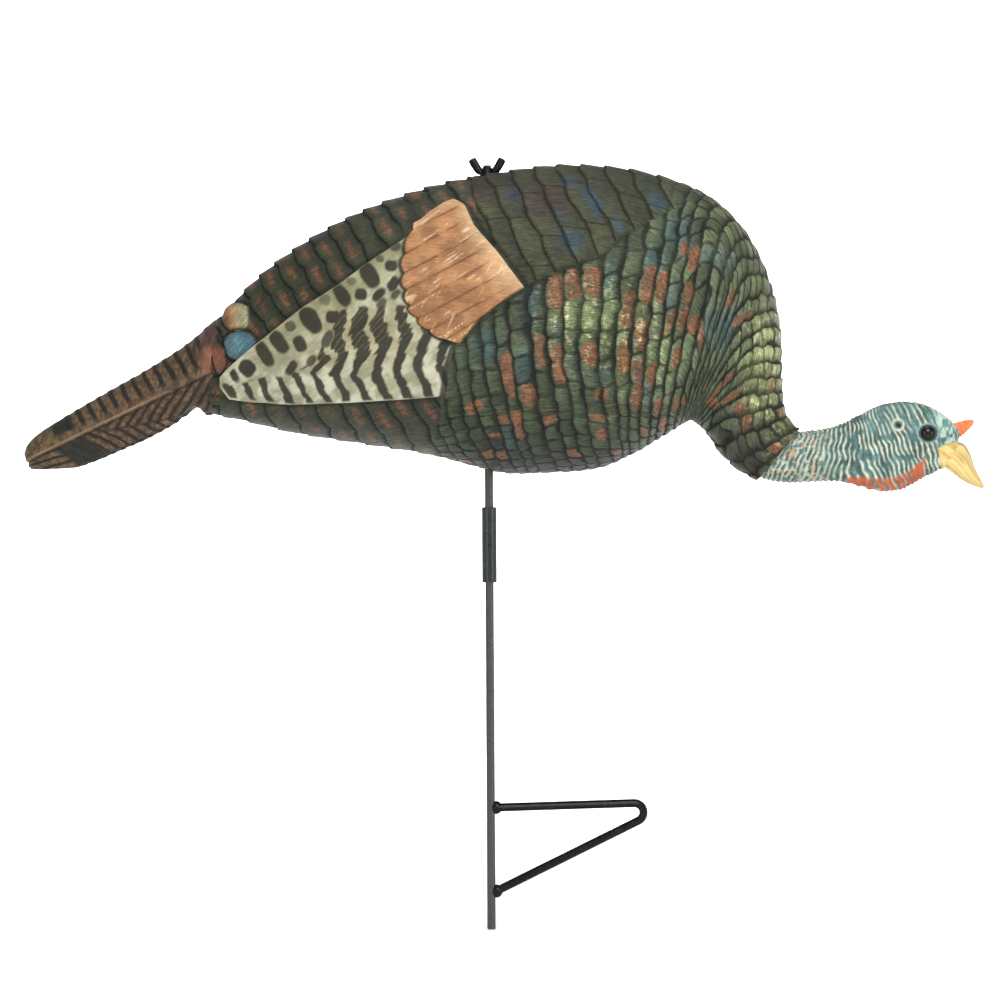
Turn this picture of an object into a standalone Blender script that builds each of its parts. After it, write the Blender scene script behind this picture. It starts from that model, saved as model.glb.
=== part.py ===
"""Feeding hen turkey decoy: a hollow two-half body on a two-piece ground stake with a wing nut.

Units are metres. The origin is the centre of the stake's bottom end, +Z runs up the stake,
+X points the way the bird faces and +Y is its left side. The body is a loft of oval sections.
Each section is set by its top point, its bottom point and its half-width, and together the
sections fan round the throat, as the rows of feathers do.
"""

import math

import bmesh
import bpy
from mathutils import Matrix, Vector

# Gap kept between pieces that touch in the real object
GAP = 0.0003
# Gap round the tail's and the neck's plugs, which are glued into the shell
PLUG_GAP = 0.0008
MERGE_DISTANCE = 0.000005

# Stake: 7.3 mm coated wire with a rolled 5/16-18 thread on its upper end
ROD_RADIUS = 0.00365
ROD_TOP = 0.6494
ROD_SPLIT = 0.3268
ROD_CHAMFER = 0.0006
THREAD_RADIUS = 0.00397
THREAD_LENGTH = 0.040
ROUND_SIDES = 32

# Coupler: a rolled sleeve that grips both rods, with its open seam at -Y
SLEEVE_LENGTH = 0.064
SLEEVE_OUTER_RADIUS = 0.00635
SLEEVE_BORE_RADIUS = 0.00390
SLEEVE_SEAM = 0.0020

# Foot step: one wire, bent to a V and welded to the lower rod at both ends
STEP_TOP_Z = 0.1033
STEP_LOW_Z = 0.0302
STEP_TOP_SLOPE = math.radians(1.5)
STEP_LOW_SLOPE = math.radians(26.05)
STEP_BEND_RADIUS = 0.0079
STEP_BEND_POINTS = 10
WELD_RADIUS = 0.0052
WELD_OFFSET = 0.0046

# Fasteners at the top of the back
RECESS_FLOOR = 0.6384
RECESS_RADIUS = 0.0140
WASHER_RADIUS = 0.0125
WASHER_THICKNESS = 0.0014
HOLE_RADIUS = 0.0046
BOSS_RADIUS = 0.0200
BOSS_BOTTOM = 0.6300
BOSS_STATIONS = (4, 6)
LOCK_NUT_HEIGHT = 0.0052
LOCK_NUT_ACROSS_CORNERS = 0.0147
NUT_BORE_CLEARANCE = 0.00012
WING_HUB_HEIGHT = 0.0066
WING_HUB_RADII = (0.0064, 0.0050)
WING_SIZE = (0.0056, 0.0034, 0.0150)
WING_ANGLE = math.radians(34)
WING_CENTRE = (0.0092, 0.0092)

# Body shell
WALL = 0.0030
SEAM_HALF_GAP = 0.00015
BODY_SIDES = 32
BODY_STEPS = 2
FULLNESS = 0.88
SLOT_REAR_X = -0.0290
SLOT_FRONT_X = 0.0000
# top x, top z, bottom x, bottom z, half-width, from the rump to the end of the feathered neck
BODY_STATIONS = (
    (-0.2310, 0.5190, -0.2390, 0.4390, 0.0370),
    (-0.1930, 0.5575, -0.2080, 0.4325, 0.0520),
    (-0.1500, 0.5885, -0.1630, 0.4215, 0.0730),
    (-0.1000, 0.6140, -0.1080, 0.4125, 0.0920),
    (-0.0450, 0.6325, -0.0480, 0.4025, 0.1040),
    (0.0100, 0.6435, 0.0080, 0.3880, 0.1090),
    (0.0620, 0.6495, 0.0450, 0.3870, 0.1100),
    (0.1120, 0.6470, 0.0920, 0.3905, 0.1070),
    (0.1560, 0.6370, 0.1250, 0.4040, 0.1000),
    (0.1920, 0.6190, 0.1520, 0.4205, 0.0910),
    (0.2200, 0.5900, 0.1670, 0.4285, 0.0800),
    (0.2390, 0.5515, 0.1720, 0.4305, 0.0680),
    (0.2485, 0.5120, 0.1760, 0.4280, 0.0570),
    (0.2500, 0.4750, 0.1840, 0.4215, 0.0465),
    (0.2510, 0.4465, 0.1970, 0.4025, 0.0370),
    (0.2565, 0.4315, 0.2120, 0.3885, 0.0300),
    (0.2645, 0.4245, 0.2275, 0.3800, 0.0255),
)

# Tail: the same five values, then how far its hollow underside is vaulted, from 0 to 1
TAIL_PLUG_DEPTH = 0.5
TAIL_STEPS = 2
TAIL_STATIONS = (
    (-0.2313, 0.5190, -0.2393, 0.4390, 0.0370, 0.00),
    (-0.2610, 0.4960, -0.2560, 0.4290, 0.0365, 0.55),
    (-0.2950, 0.4750, -0.2820, 0.4165, 0.0350, 0.72),
    (-0.3290, 0.4560, -0.3140, 0.4025, 0.0325, 0.72),
    (-0.3630, 0.4358, -0.3460, 0.3895, 0.0285, 0.65),
    (-0.3800, 0.4250, -0.3670, 0.3865, 0.0240, 0.50),
    (-0.3905, 0.4155, -0.3820, 0.3885, 0.0170, 0.30),
    (-0.3945, 0.4065, -0.3895, 0.3930, 0.0080, 0.00),
)

# Head: a hollow neck that plugs into the body, then the skull, beak and snood in one moulding
HEAD_SIDES = 24
HEAD_STEPS = 2
NECK_PLUG_DEPTH = 1.5
HEAD_STATIONS = (
    (0.2740, 0.4222, 0.2500, 0.3786, 0.0206),
    (0.2860, 0.4236, 0.2760, 0.3791, 0.0200),
    (0.3000, 0.4278, 0.2970, 0.3791, 0.0203),
    (0.3170, 0.4364, 0.3170, 0.3750, 0.0218),
    (0.3340, 0.4440, 0.3340, 0.3716, 0.0236),
    (0.3510, 0.4465, 0.3510, 0.3732, 0.0244),
    (0.3680, 0.4446, 0.3660, 0.3802, 0.0230),
    (0.3820, 0.4386, 0.3790, 0.3866, 0.0195),
    (0.3920, 0.4311, 0.3880, 0.3916, 0.0155),
    (0.4000, 0.4216, 0.3960, 0.4006, 0.0090),
)
NECK_BORE_STATIONS = 5
BEAK_SIDES = 20
BEAK_STATIONS = (
    (0.3930, 0.4134, 0.3800, 0.3959, 0.0105),
    (0.4035, 0.4104, 0.3865, 0.3909, 0.0108),
    (0.4095, 0.4014, 0.3945, 0.3852, 0.0092),
    (0.4130, 0.3909, 0.4015, 0.3796, 0.0068),
    (0.4175, 0.3814, 0.4105, 0.3749, 0.0040),
    (0.4212, 0.3739, 0.4192, 0.3721, 0.0014),
)
SNOOD_BASE = (0.3960, 0.0, 0.4190)
SNOOD_TIP = (0.4125, 0.0, 0.4278)
SNOOD_RADII = (0.0058, 0.0021)
SNOOD_FLATTENING = 0.7
EYE_CENTRE = (0.3718, 0.0210, 0.4192)
EYE_SIZE = (0.0068, 0.0036, 0.0068)

FEATHER_GREEN = (0.075, 0.090, 0.055)
SKIN_BLUE = (0.230, 0.360, 0.390)
TAIL_BROWN = (0.190, 0.105, 0.070)
EYE_BLACK = (0.008, 0.008, 0.008)
COATED_BLACK = (0.030, 0.034, 0.030)
BLACK_OXIDE = (0.012, 0.012, 0.012)
ZINC = (0.520, 0.520, 0.500)


def clear_scene():
    for obj in list(bpy.data.objects):
        bpy.data.objects.remove(obj)


def new_collection(name):
    collection = bpy.data.collections.new(name)
    bpy.context.scene.collection.children.link(collection)
    return collection


def material(name, colour, roughness, metallic=0.0):
    made = bpy.data.materials.new(name)
    made.use_nodes = True
    shader = made.node_tree.nodes["Principled BSDF"]
    shader.inputs["Base Color"].default_value = (*colour, 1.0)
    shader.inputs["Roughness"].default_value = roughness
    shader.inputs["Metallic"].default_value = metallic
    return made


def move_to(obj, collection):
    for other in list(obj.users_collection):
        other.objects.unlink(obj)
    collection.objects.link(obj)


def finish_piece(obj, name, made):
    """Names the object, gives it its material and smooth shading, and puts it with the parts."""
    obj.name = name
    obj.data.name = name
    obj.data.materials.clear()
    obj.data.materials.append(made)
    obj.data.shade_smooth()
    obj.data.set_sharp_from_angle(angle=math.radians(35))
    move_to(obj, PARTS)
    return obj


def as_cutter(obj):
    obj.hide_render = True
    obj.display_type = "WIRE"
    move_to(obj, CUTTERS)
    return obj


def boolean(obj, other, operation):
    modifier = obj.modifiers.new(f"{operation.lower()}_{other.name}", "BOOLEAN")
    modifier.operation = operation
    modifier.object = other
    return obj


def applied(obj):
    """The object with its modifiers baked into its own mesh, so that it can be cut again."""
    bpy.context.view_layer.update()
    evaluated = obj.evaluated_get(bpy.context.evaluated_depsgraph_get())
    mesh = bpy.data.meshes.new_from_object(evaluated)
    shape = bmesh.new()
    shape.from_mesh(mesh)
    bmesh.ops.remove_doubles(shape, verts=shape.verts, dist=MERGE_DISTANCE)
    bmesh.ops.dissolve_degenerate(shape, edges=shape.edges, dist=MERGE_DISTANCE)
    shape.to_mesh(mesh)
    shape.free()
    obj.modifiers.clear()
    obj.data = mesh
    return obj


def cylinder(name, radius, bottom, top, x=0.0, sides=ROUND_SIDES, top_radius=None):
    """A cylinder or cone frustum along Z."""
    mesh = bpy.data.meshes.new(name)
    shape = bmesh.new()
    bmesh.ops.create_cone(
        shape,
        cap_ends=True,
        segments=sides,
        radius1=radius,
        radius2=radius if top_radius is None else top_radius,
        depth=top - bottom,
        matrix=Matrix.Translation((x, 0.0, (top + bottom) / 2)),
    )
    shape.to_mesh(mesh)
    shape.free()
    obj = bpy.data.objects.new(name, mesh)
    PARTS.objects.link(obj)
    return obj


def box(name, low, high):
    mesh = bpy.data.meshes.new(name)
    shape = bmesh.new()
    size = Vector(high) - Vector(low)
    centre = (Vector(high) + Vector(low)) / 2
    place = Matrix.Translation(centre) @ Matrix.Diagonal((*size, 1.0))
    bmesh.ops.create_cube(shape, size=1.0, matrix=place)
    shape.to_mesh(mesh)
    shape.free()
    obj = bpy.data.objects.new(name, mesh)
    PARTS.objects.link(obj)
    return obj


def ellipsoid(name, centre, radii, segments=20, rings=12):
    mesh = bpy.data.meshes.new(name)
    shape = bmesh.new()
    place = Matrix.Translation(Vector(centre)) @ Matrix.Diagonal((*radii, 1.0))
    bmesh.ops.create_uvsphere(
        shape, u_segments=segments, v_segments=rings, radius=1.0, matrix=place
    )
    shape.to_mesh(mesh)
    shape.free()
    obj = bpy.data.objects.new(name, mesh)
    PARTS.objects.link(obj)
    return obj


def catmull_rom(before, start, end, after, share):
    """A smooth value between start and end, for tuples of numbers."""
    squared, cubed = share * share, share**3
    return tuple(
        0.5
        * (
            2 * b
            + (c - a) * share
            + (2 * a - 5 * b + 4 * c - d) * squared
            + (3 * b - a - 3 * c + d) * cubed
        )
        for a, b, c, d in zip(before, start, end, after)
    )


def station_at(stations, place):
    """The station at a place along the list, where 2.5 is half-way from the third to the fourth."""
    last = len(stations) - 1
    index = min(int(math.floor(max(place, 0.0))), last - 1)
    before = stations[max(index - 1, 0)]
    after = stations[min(index + 2, last)]
    return catmull_rom(
        before, stations[index], stations[index + 1], after, place - index
    )


def places(first, last, steps):
    """Evenly spaced places from first to last, with steps of them to each station."""
    count = max(1, round(abs(last - first) * steps))
    return [first + (last - first) * i / count for i in range(count + 1)]


def oval_point(angle, vault):
    """Across and up, each from -1 to 1, at an angle from the top. A vault hollows the underside."""
    across = math.copysign(abs(math.sin(angle)) ** FULLNESS, math.sin(angle))
    oval_up = math.copysign(abs(math.cos(angle)) ** FULLNESS, math.cos(angle))
    if vault == 0.0:
        return across, oval_up
    if math.cos(angle) >= 0.0:
        roof_up = 1.0 - 2.0 * (1.0 - math.cos(angle)) ** 0.8
    else:
        roof_up = -1.0 + 1.1 * (1.0 - abs(math.sin(angle)) ** 1.6)
    return across, oval_up + (roof_up - oval_up) * vault


def section(station, sides, inset=0.0, vault=0.0):
    """A closed ring of points: the oval set by a station, drawn in by inset."""
    top_x, top_z, bottom_x, bottom_z, half_width = station[:5]
    top = Vector((top_x, 0.0, top_z))
    bottom = Vector((bottom_x, 0.0, bottom_z))
    middle = (top + bottom) / 2
    up = (top - bottom) / 2
    up *= 1.0 - inset / up.length
    side = half_width - inset
    ring = []
    for i in range(sides):
        across, along = oval_point(2 * math.pi * i / sides, vault)
        ring.append(middle + up * along + Vector((0.0, side * across, 0.0)))
    return ring


def half_section(station, side, inset):
    """The half of a body section on one side, from its top to its bottom, clear of the seam."""
    ring = section(station, BODY_SIDES, inset)[: BODY_SIDES // 2 + 1]
    return [Vector((p.x, side * max(p.y, SEAM_HALF_GAP), p.z)) for p in ring]


def loft(name, rings, paired_caps=False):
    """A closed solid through rings that have the same number of points.

    Paired caps suit rings that go out along one line and back along another: each end is closed
    with a strip between the two lines.
    """
    shape = bmesh.new()
    rows = [[shape.verts.new(point) for point in ring] for ring in rings]
    count = len(rows[0])
    for first, second in zip(rows, rows[1:]):
        for i in range(count):
            j = (i + 1) % count
            shape.faces.new((first[i], first[j], second[j], second[i]))
    for row in (rows[0], rows[-1]):
        if paired_caps:
            for i in range(count // 2 - 1):
                far = count - 1 - i
                shape.faces.new((row[i], row[i + 1], row[far - 1], row[far]))
        else:
            shape.faces.new(row)
    bmesh.ops.recalc_face_normals(shape, faces=shape.faces)
    mesh = bpy.data.meshes.new(name)
    shape.to_mesh(mesh)
    shape.free()
    obj = bpy.data.objects.new(name, mesh)
    PARTS.objects.link(obj)
    return obj


def make_body_half(name, side, made):
    """One half of the body shell. side is +1 for the bird's left and -1 for its right."""
    walls = []
    for place in places(0, len(BODY_STATIONS) - 1, BODY_STEPS):
        station = station_at(BODY_STATIONS, place)
        outer = half_section(station, side, 0.0)
        inner = half_section(station, side, WALL)
        walls.append(outer + inner[::-1])
    half = loft(name, walls, paired_caps=True)

    under_skin = [
        half_section(station_at(BODY_STATIONS, place), side, WALL / 2)
        for place in places(*BOSS_STATIONS, BODY_STEPS)
    ]
    boss = cylinder(f"{name}_boss", BOSS_RADIUS, BOSS_BOTTOM, BOSS_BOTTOM + 0.05)
    core = loft(f"{name}_core", under_skin)
    boolean(boss, as_cutter(core), "INTERSECT")
    boolean(half, as_cutter(applied(boss)), "UNION")

    recess = cylinder(
        f"{name}_recess", RECESS_RADIUS, RECESS_FLOOR, RECESS_FLOOR + 0.03
    )
    bore = cylinder(
        f"{name}_bore", HOLE_RADIUS, BOSS_BOTTOM - 0.01, RECESS_FLOOR + 0.01
    )
    slot_low, slot_high = 0.370, 0.415
    slot = box(
        f"{name}_slot",
        (SLOT_REAR_X + HOLE_RADIUS, -HOLE_RADIUS, slot_low),
        (SLOT_FRONT_X, HOLE_RADIUS, slot_high),
    )
    slot_ends = [
        cylinder(f"{name}_slot_end_{i}", HOLE_RADIUS, slot_low, slot_high, x)
        for i, x in enumerate((SLOT_REAR_X + HOLE_RADIUS, SLOT_FRONT_X))
    ]
    for cutter in (recess, bore, slot, *slot_ends):
        boolean(half, as_cutter(cutter), "DIFFERENCE")
    return finish_piece(applied(half), name, made)


def make_tail(name, made):
    """The tail fan: a plug glued into the shell's rear mouth, then a vaulted fan of feathers."""
    plug = [
        section(station_at(BODY_STATIONS, place), BODY_SIDES, WALL + PLUG_GAP)
        for place in places(TAIL_PLUG_DEPTH, 0.0, TAIL_STEPS)
    ]
    last = len(TAIL_STATIONS) - 1
    fan = []
    for place in places(0, last, TAIL_STEPS):
        station = station_at(TAIL_STATIONS, place)
        vault = max(0.0, min(station[5], 1.0))
        fan.append(section(station, BODY_SIDES, vault=vault))
    shoulder = section(TAIL_STATIONS[0], BODY_SIDES, WALL + PLUG_GAP)
    return finish_piece(loft(name, plug[:-1] + [shoulder] + fan), name, made)


def make_head(name, made):
    """The bare neck, skull, beak and snood, moulded in one, with a hollow neck."""
    last_body = len(BODY_STATIONS) - 1
    plug = [
        station_at(BODY_STATIONS, place)
        for place in places(last_body - NECK_PLUG_DEPTH, last_body, HEAD_STEPS)
    ]
    last = len(HEAD_STATIONS) - 1
    skull = [
        station_at(HEAD_STATIONS, place) for place in places(0, last, HEAD_STEPS)
    ]
    hollow = skull[: NECK_BORE_STATIONS * HEAD_STEPS]
    rings = [section(station, HEAD_SIDES, WALL) for station in reversed(hollow)]
    rings += [section(s, HEAD_SIDES, 2 * WALL + PLUG_GAP) for s in reversed(plug)]
    rings += [section(s, HEAD_SIDES, WALL + PLUG_GAP) for s in plug]
    rings += [section(station, HEAD_SIDES) for station in skull]
    head = loft(name, rings)

    last_beak = len(BEAK_STATIONS) - 1
    beak = loft(
        f"{name}_beak",
        [
            section(station_at(BEAK_STATIONS, place), BEAK_SIDES)
            for place in places(0, last_beak, HEAD_STEPS)
        ],
    )
    base, tip = Vector(SNOOD_BASE), Vector(SNOOD_TIP)
    snood = cylinder(
        f"{name}_snood",
        SNOOD_RADII[0],
        0.0,
        (tip - base).length,
        sides=16,
        top_radius=SNOOD_RADII[1],
    )
    turn = (tip - base).to_track_quat("Z", "Y").to_matrix().to_4x4()
    flatten = Matrix.Diagonal((SNOOD_FLATTENING, 1.0, 1.0, 1.0))
    snood.data.transform(Matrix.Translation(base) @ turn @ flatten)
    for extra in (beak, snood):
        boolean(head, as_cutter(extra), "UNION")
    for side in (-1, 1):
        centre = (EYE_CENTRE[0], side * EYE_CENTRE[1], EYE_CENTRE[2])
        socket_size = [radius + GAP for radius in EYE_SIZE]
        socket = ellipsoid(f"{name}_socket_{side}", centre, socket_size)
        boolean(head, as_cutter(socket), "DIFFERENCE")
    return finish_piece(applied(head), name, made)


def make_eye(name, side, made):
    centre = (EYE_CENTRE[0], side * EYE_CENTRE[1], EYE_CENTRE[2])
    return finish_piece(ellipsoid(name, centre, EYE_SIZE), name, made)


def turned(name, profile, made, sides=ROUND_SIDES):
    """A turned piece: a closed profile of (radius, height) points, swept round Z."""
    mesh = bpy.data.meshes.new(name)
    points = [(radius, 0.0, height) for radius, height in profile]
    edges = [(i, (i + 1) % len(points)) for i in range(len(points))]
    mesh.from_pydata(points, edges, [])
    obj = bpy.data.objects.new(name, mesh)
    PARTS.objects.link(obj)
    screw = obj.modifiers.new("turn", "SCREW")
    screw.steps = sides
    screw.render_steps = sides
    screw.use_merge_vertices = True
    screw.merge_threshold = 0.00001
    return finish_piece(applied(obj), name, made)


def make_rod(name, bottom, top, made, threaded=False):
    """A round rod with chamfered ends, as a turned profile that starts and ends on the axis."""
    upper = THREAD_RADIUS if threaded else ROD_RADIUS
    profile = [
        (0.0, top),
        (upper - ROD_CHAMFER, top),
        (upper, top - ROD_CHAMFER),
    ]
    if threaded:
        profile += [(upper, top - THREAD_LENGTH), (ROD_RADIUS, top - THREAD_LENGTH)]
    profile += [
        (ROD_RADIUS, bottom + ROD_CHAMFER),
        (ROD_RADIUS - ROD_CHAMFER, bottom),
        (0.0, bottom),
    ]
    mesh = bpy.data.meshes.new(name)
    points = [(radius, 0.0, height) for radius, height in profile]
    mesh.from_pydata(points, [(i, i + 1) for i in range(len(points) - 1)], [])
    obj = bpy.data.objects.new(name, mesh)
    PARTS.objects.link(obj)
    screw = obj.modifiers.new("turn", "SCREW")
    screw.steps = ROUND_SIDES
    screw.render_steps = ROUND_SIDES
    screw.use_merge_vertices = True
    screw.merge_threshold = 0.00001
    return finish_piece(applied(obj), name, made)


def make_washer(name, bottom, bore, made):
    top = bottom + WASHER_THICKNESS
    ring = [(WASHER_RADIUS, top), (WASHER_RADIUS, bottom), (bore, bottom), (bore, top)]
    return turned(name, ring, made)


def make_lock_nut(name, bottom, made):
    nut = cylinder(
        name,
        LOCK_NUT_ACROSS_CORNERS / 2,
        bottom,
        bottom + LOCK_NUT_HEIGHT,
        sides=6,
    )
    bore_radius = THREAD_RADIUS + NUT_BORE_CLEARANCE
    bore = cylinder(
        f"{name}_bore", bore_radius, bottom - 0.01, bottom + LOCK_NUT_HEIGHT + 0.01
    )
    boolean(nut, as_cutter(bore), "DIFFERENCE")
    return finish_piece(applied(nut), name, made)


def make_wing_nut(name, bottom, made):
    """A cast hub with two upswept wings and a plain bore that clears the thread."""
    nut = cylinder(
        name,
        WING_HUB_RADII[0],
        bottom,
        bottom + WING_HUB_HEIGHT,
        top_radius=WING_HUB_RADII[1],
    )
    for side in (-1, 1):
        half = [size / 2 for size in WING_SIZE]
        wing = box(f"{name}_wing_{side}", [-h for h in half], half)
        turn = Matrix.Rotation(side * WING_ANGLE, 4, "Y")
        place = (side * WING_CENTRE[0], 0.0, bottom + WING_CENTRE[1])
        wing.data.transform(Matrix.Translation(place) @ turn)
        bevel = wing.modifiers.new("rounded", "BEVEL")
        bevel.width = 0.0013
        bevel.segments = 3
        boolean(nut, as_cutter(applied(wing)), "UNION")
    bore_radius = THREAD_RADIUS + NUT_BORE_CLEARANCE
    bore = cylinder(f"{name}_bore", bore_radius, bottom - 0.02, bottom + 0.03)
    boolean(nut, as_cutter(bore), "DIFFERENCE")
    return finish_piece(applied(nut), name, made)


def make_sleeve(name, made):
    """The rolled coupler: a thick tube with its open seam left as a narrow slot."""
    middle = ROD_SPLIT
    bottom, top = middle - SLEEVE_LENGTH / 2, middle + SLEEVE_LENGTH / 2
    chamfer = 0.0005
    wall = [
        (SLEEVE_OUTER_RADIUS - chamfer, top),
        (SLEEVE_OUTER_RADIUS, top - chamfer),
        (SLEEVE_OUTER_RADIUS, bottom + chamfer),
        (SLEEVE_OUTER_RADIUS - chamfer, bottom),
        (SLEEVE_BORE_RADIUS, bottom),
        (SLEEVE_BORE_RADIUS, top),
    ]
    sleeve = turned(name, wall, made, sides=40)
    seam = box(
        f"{name}_seam",
        (-SLEEVE_SEAM / 2, -2 * SLEEVE_OUTER_RADIUS, bottom - 0.01),
        (SLEEVE_SEAM / 2, 0.0, top + 0.01),
    )
    boolean(sleeve, as_cutter(seam), "DIFFERENCE")
    return finish_piece(applied(sleeve), name, made)


def step_path():
    """The step wire's centre line: out along the top arm, round the bend, back down the low arm."""
    rise = math.tan(STEP_LOW_SLOPE) - math.tan(STEP_TOP_SLOPE)
    apex_x = (STEP_TOP_Z - STEP_LOW_Z) / rise
    apex = Vector((apex_x, 0.0, STEP_TOP_Z + apex_x * math.tan(STEP_TOP_SLOPE)))
    half_angle = (STEP_LOW_SLOPE - STEP_TOP_SLOPE) / 2
    middle_slope = (STEP_LOW_SLOPE + STEP_TOP_SLOPE) / 2
    back = Vector((-math.cos(middle_slope), 0.0, -math.sin(middle_slope)))
    centre = apex + back * (STEP_BEND_RADIUS / math.sin(half_angle))
    first = math.pi / 2 + STEP_TOP_SLOPE
    last = -math.pi / 2 + STEP_LOW_SLOPE
    path = [Vector((0.0, 0.0, STEP_TOP_Z))]
    for i in range(STEP_BEND_POINTS + 1):
        angle = first + (last - first) * i / STEP_BEND_POINTS
        reach = Vector((math.cos(angle), 0.0, math.sin(angle))) * STEP_BEND_RADIUS
        path.append(centre + reach)
    path.append(Vector((0.0, 0.0, STEP_LOW_Z)))
    return path


def wire(name, path, radius):
    """A round wire along a path, as a closed mesh."""
    data = bpy.data.curves.new(name, "CURVE")
    data.dimensions = "3D"
    data.bevel_depth = radius
    data.bevel_resolution = 4
    data.use_fill_caps = True
    spline = data.splines.new("POLY")
    spline.points.add(len(path) - 1)
    for point, place in zip(spline.points, path):
        point.co = (*place, 1.0)
    curve = bpy.data.objects.new(f"{name}_curve", data)
    PARTS.objects.link(curve)
    bpy.context.view_layer.update()
    evaluated = curve.evaluated_get(bpy.context.evaluated_depsgraph_get())
    mesh = bpy.data.meshes.new_from_object(evaluated)
    bpy.data.objects.remove(curve)
    shape = bmesh.new()
    shape.from_mesh(mesh)
    bmesh.ops.remove_doubles(shape, verts=shape.verts, dist=0.000001)
    bmesh.ops.recalc_face_normals(shape, faces=shape.faces)
    shape.to_mesh(mesh)
    shape.free()
    obj = bpy.data.objects.new(name, mesh)
    PARTS.objects.link(obj)
    return obj


def make_foot_step(name, made):
    """The bent wire with its two weld beads, cut to the round of the lower rod."""
    step = wire(name, step_path(), ROD_RADIUS)
    slopes = (STEP_TOP_SLOPE, STEP_LOW_SLOPE)
    for i, (height, slope) in enumerate(zip((STEP_TOP_Z, STEP_LOW_Z), slopes)):
        centre = (WELD_OFFSET, 0.0, height + WELD_OFFSET * math.tan(slope))
        radii = (WELD_RADIUS, WELD_RADIUS * 0.95, WELD_RADIUS * 1.1)
        bead = ellipsoid(f"{name}_weld_{i}", centre, radii)
        boolean(step, as_cutter(bead), "UNION")
    clearance = cylinder(f"{name}_clearance", ROD_RADIUS + GAP, -0.05, 0.3)
    behind = box(f"{name}_behind", (-0.03, -0.03, -0.05), (0.0, 0.03, 0.3))
    for cutter in (clearance, behind):
        boolean(step, as_cutter(cutter), "DIFFERENCE")
    return finish_piece(applied(step), name, made)


def build():
    feathered = material("feathered_shell", FEATHER_GREEN, 0.55)
    skin = material("head_skin", SKIN_BLUE, 0.50)
    tail_paint = material("tail_feathers", TAIL_BROWN, 0.60)
    eye_gloss = material("eye_gloss", EYE_BLACK, 0.08)
    coated = material("coated_steel", COATED_BLACK, 0.40, 0.0)
    oxide = material("black_oxide", BLACK_OXIDE, 0.35, 0.8)
    zinc = material("zinc_plate", ZINC, 0.35, 1.0)

    make_body_half("body_half_left", 1, feathered)
    make_body_half("body_half_right", -1, feathered)
    make_tail("tail_fan", tail_paint)
    make_head("head_and_neck", skin)
    make_eye("eye_left", 1, eye_gloss)
    make_eye("eye_right", -1, eye_gloss)

    make_rod("lower_rod", 0.0, ROD_SPLIT - GAP / 2, coated)
    make_foot_step("foot_step", coated)
    make_sleeve("coupler_sleeve", coated)
    make_rod("upper_rod", ROD_SPLIT + GAP / 2, ROD_TOP, coated, threaded=True)

    support_top = BOSS_BOTTOM - GAP
    lock_nut_top = support_top - WASHER_THICKNESS - GAP
    washer_bore = THREAD_RADIUS + GAP
    make_lock_nut("support_nut", lock_nut_top - LOCK_NUT_HEIGHT, zinc)
    make_washer("support_washer", support_top - WASHER_THICKNESS, washer_bore, zinc)
    clamp_bottom = RECESS_FLOOR + GAP
    make_washer("clamp_washer", clamp_bottom, washer_bore, oxide)
    wing_nut_bottom = clamp_bottom + WASHER_THICKNESS + GAP
    make_wing_nut("wing_nut", wing_nut_bottom, oxide)


clear_scene()
PARTS = new_collection("turkey_decoy")
CUTTERS = new_collection("cutters")
build()
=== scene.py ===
"""Looks for the feeding hen turkey decoy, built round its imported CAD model.

Metres, in the CAD model's frame: +Z up the stake, +X the way the bird faces, +Y its left side.
"""

import math

import bmesh
import bpy
import numpy as np
from mathutils import Matrix, Vector


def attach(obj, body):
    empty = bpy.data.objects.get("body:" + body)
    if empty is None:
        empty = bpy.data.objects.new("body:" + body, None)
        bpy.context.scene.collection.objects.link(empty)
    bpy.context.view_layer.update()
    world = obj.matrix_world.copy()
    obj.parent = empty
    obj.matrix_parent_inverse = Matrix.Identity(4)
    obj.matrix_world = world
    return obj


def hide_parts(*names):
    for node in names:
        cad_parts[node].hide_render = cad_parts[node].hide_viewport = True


MM = 0.001
FULLNESS = 0.88  # power of the sections' ovals, as in the CAD model
WALL = 0.0030
SEAM_HALF_GAP = 0.00015
BARE = 0.02  # paint value of bare dark foam: inner walls, backs and cuts
# top x, top z, bottom x, bottom z, half-width: the CAD model's own sections
BODY = np.array(
    (
        (-0.2310, 0.5190, -0.2390, 0.4390, 0.0370),
        (-0.1930, 0.5575, -0.2080, 0.4325, 0.0520),
        (-0.1500, 0.5885, -0.1630, 0.4215, 0.0730),
        (-0.1000, 0.6140, -0.1080, 0.4125, 0.0920),
        (-0.0450, 0.6325, -0.0480, 0.4025, 0.1040),
        (0.0100, 0.6435, 0.0080, 0.3880, 0.1090),
        (0.0620, 0.6495, 0.0450, 0.3870, 0.1100),
        (0.1120, 0.6470, 0.0920, 0.3905, 0.1070),
        (0.1560, 0.6370, 0.1250, 0.4040, 0.1000),
        (0.1920, 0.6190, 0.1520, 0.4205, 0.0910),
        (0.2200, 0.5900, 0.1670, 0.4285, 0.0800),
        (0.2390, 0.5515, 0.1720, 0.4305, 0.0680),
        (0.2485, 0.5120, 0.1760, 0.4280, 0.0570),
        (0.2500, 0.4750, 0.1840, 0.4215, 0.0465),
        (0.2510, 0.4465, 0.1970, 0.4025, 0.0370),
        (0.2565, 0.4315, 0.2120, 0.3885, 0.0300),
        (0.2645, 0.4245, 0.2275, 0.3800, 0.0255),
    )
)
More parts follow.
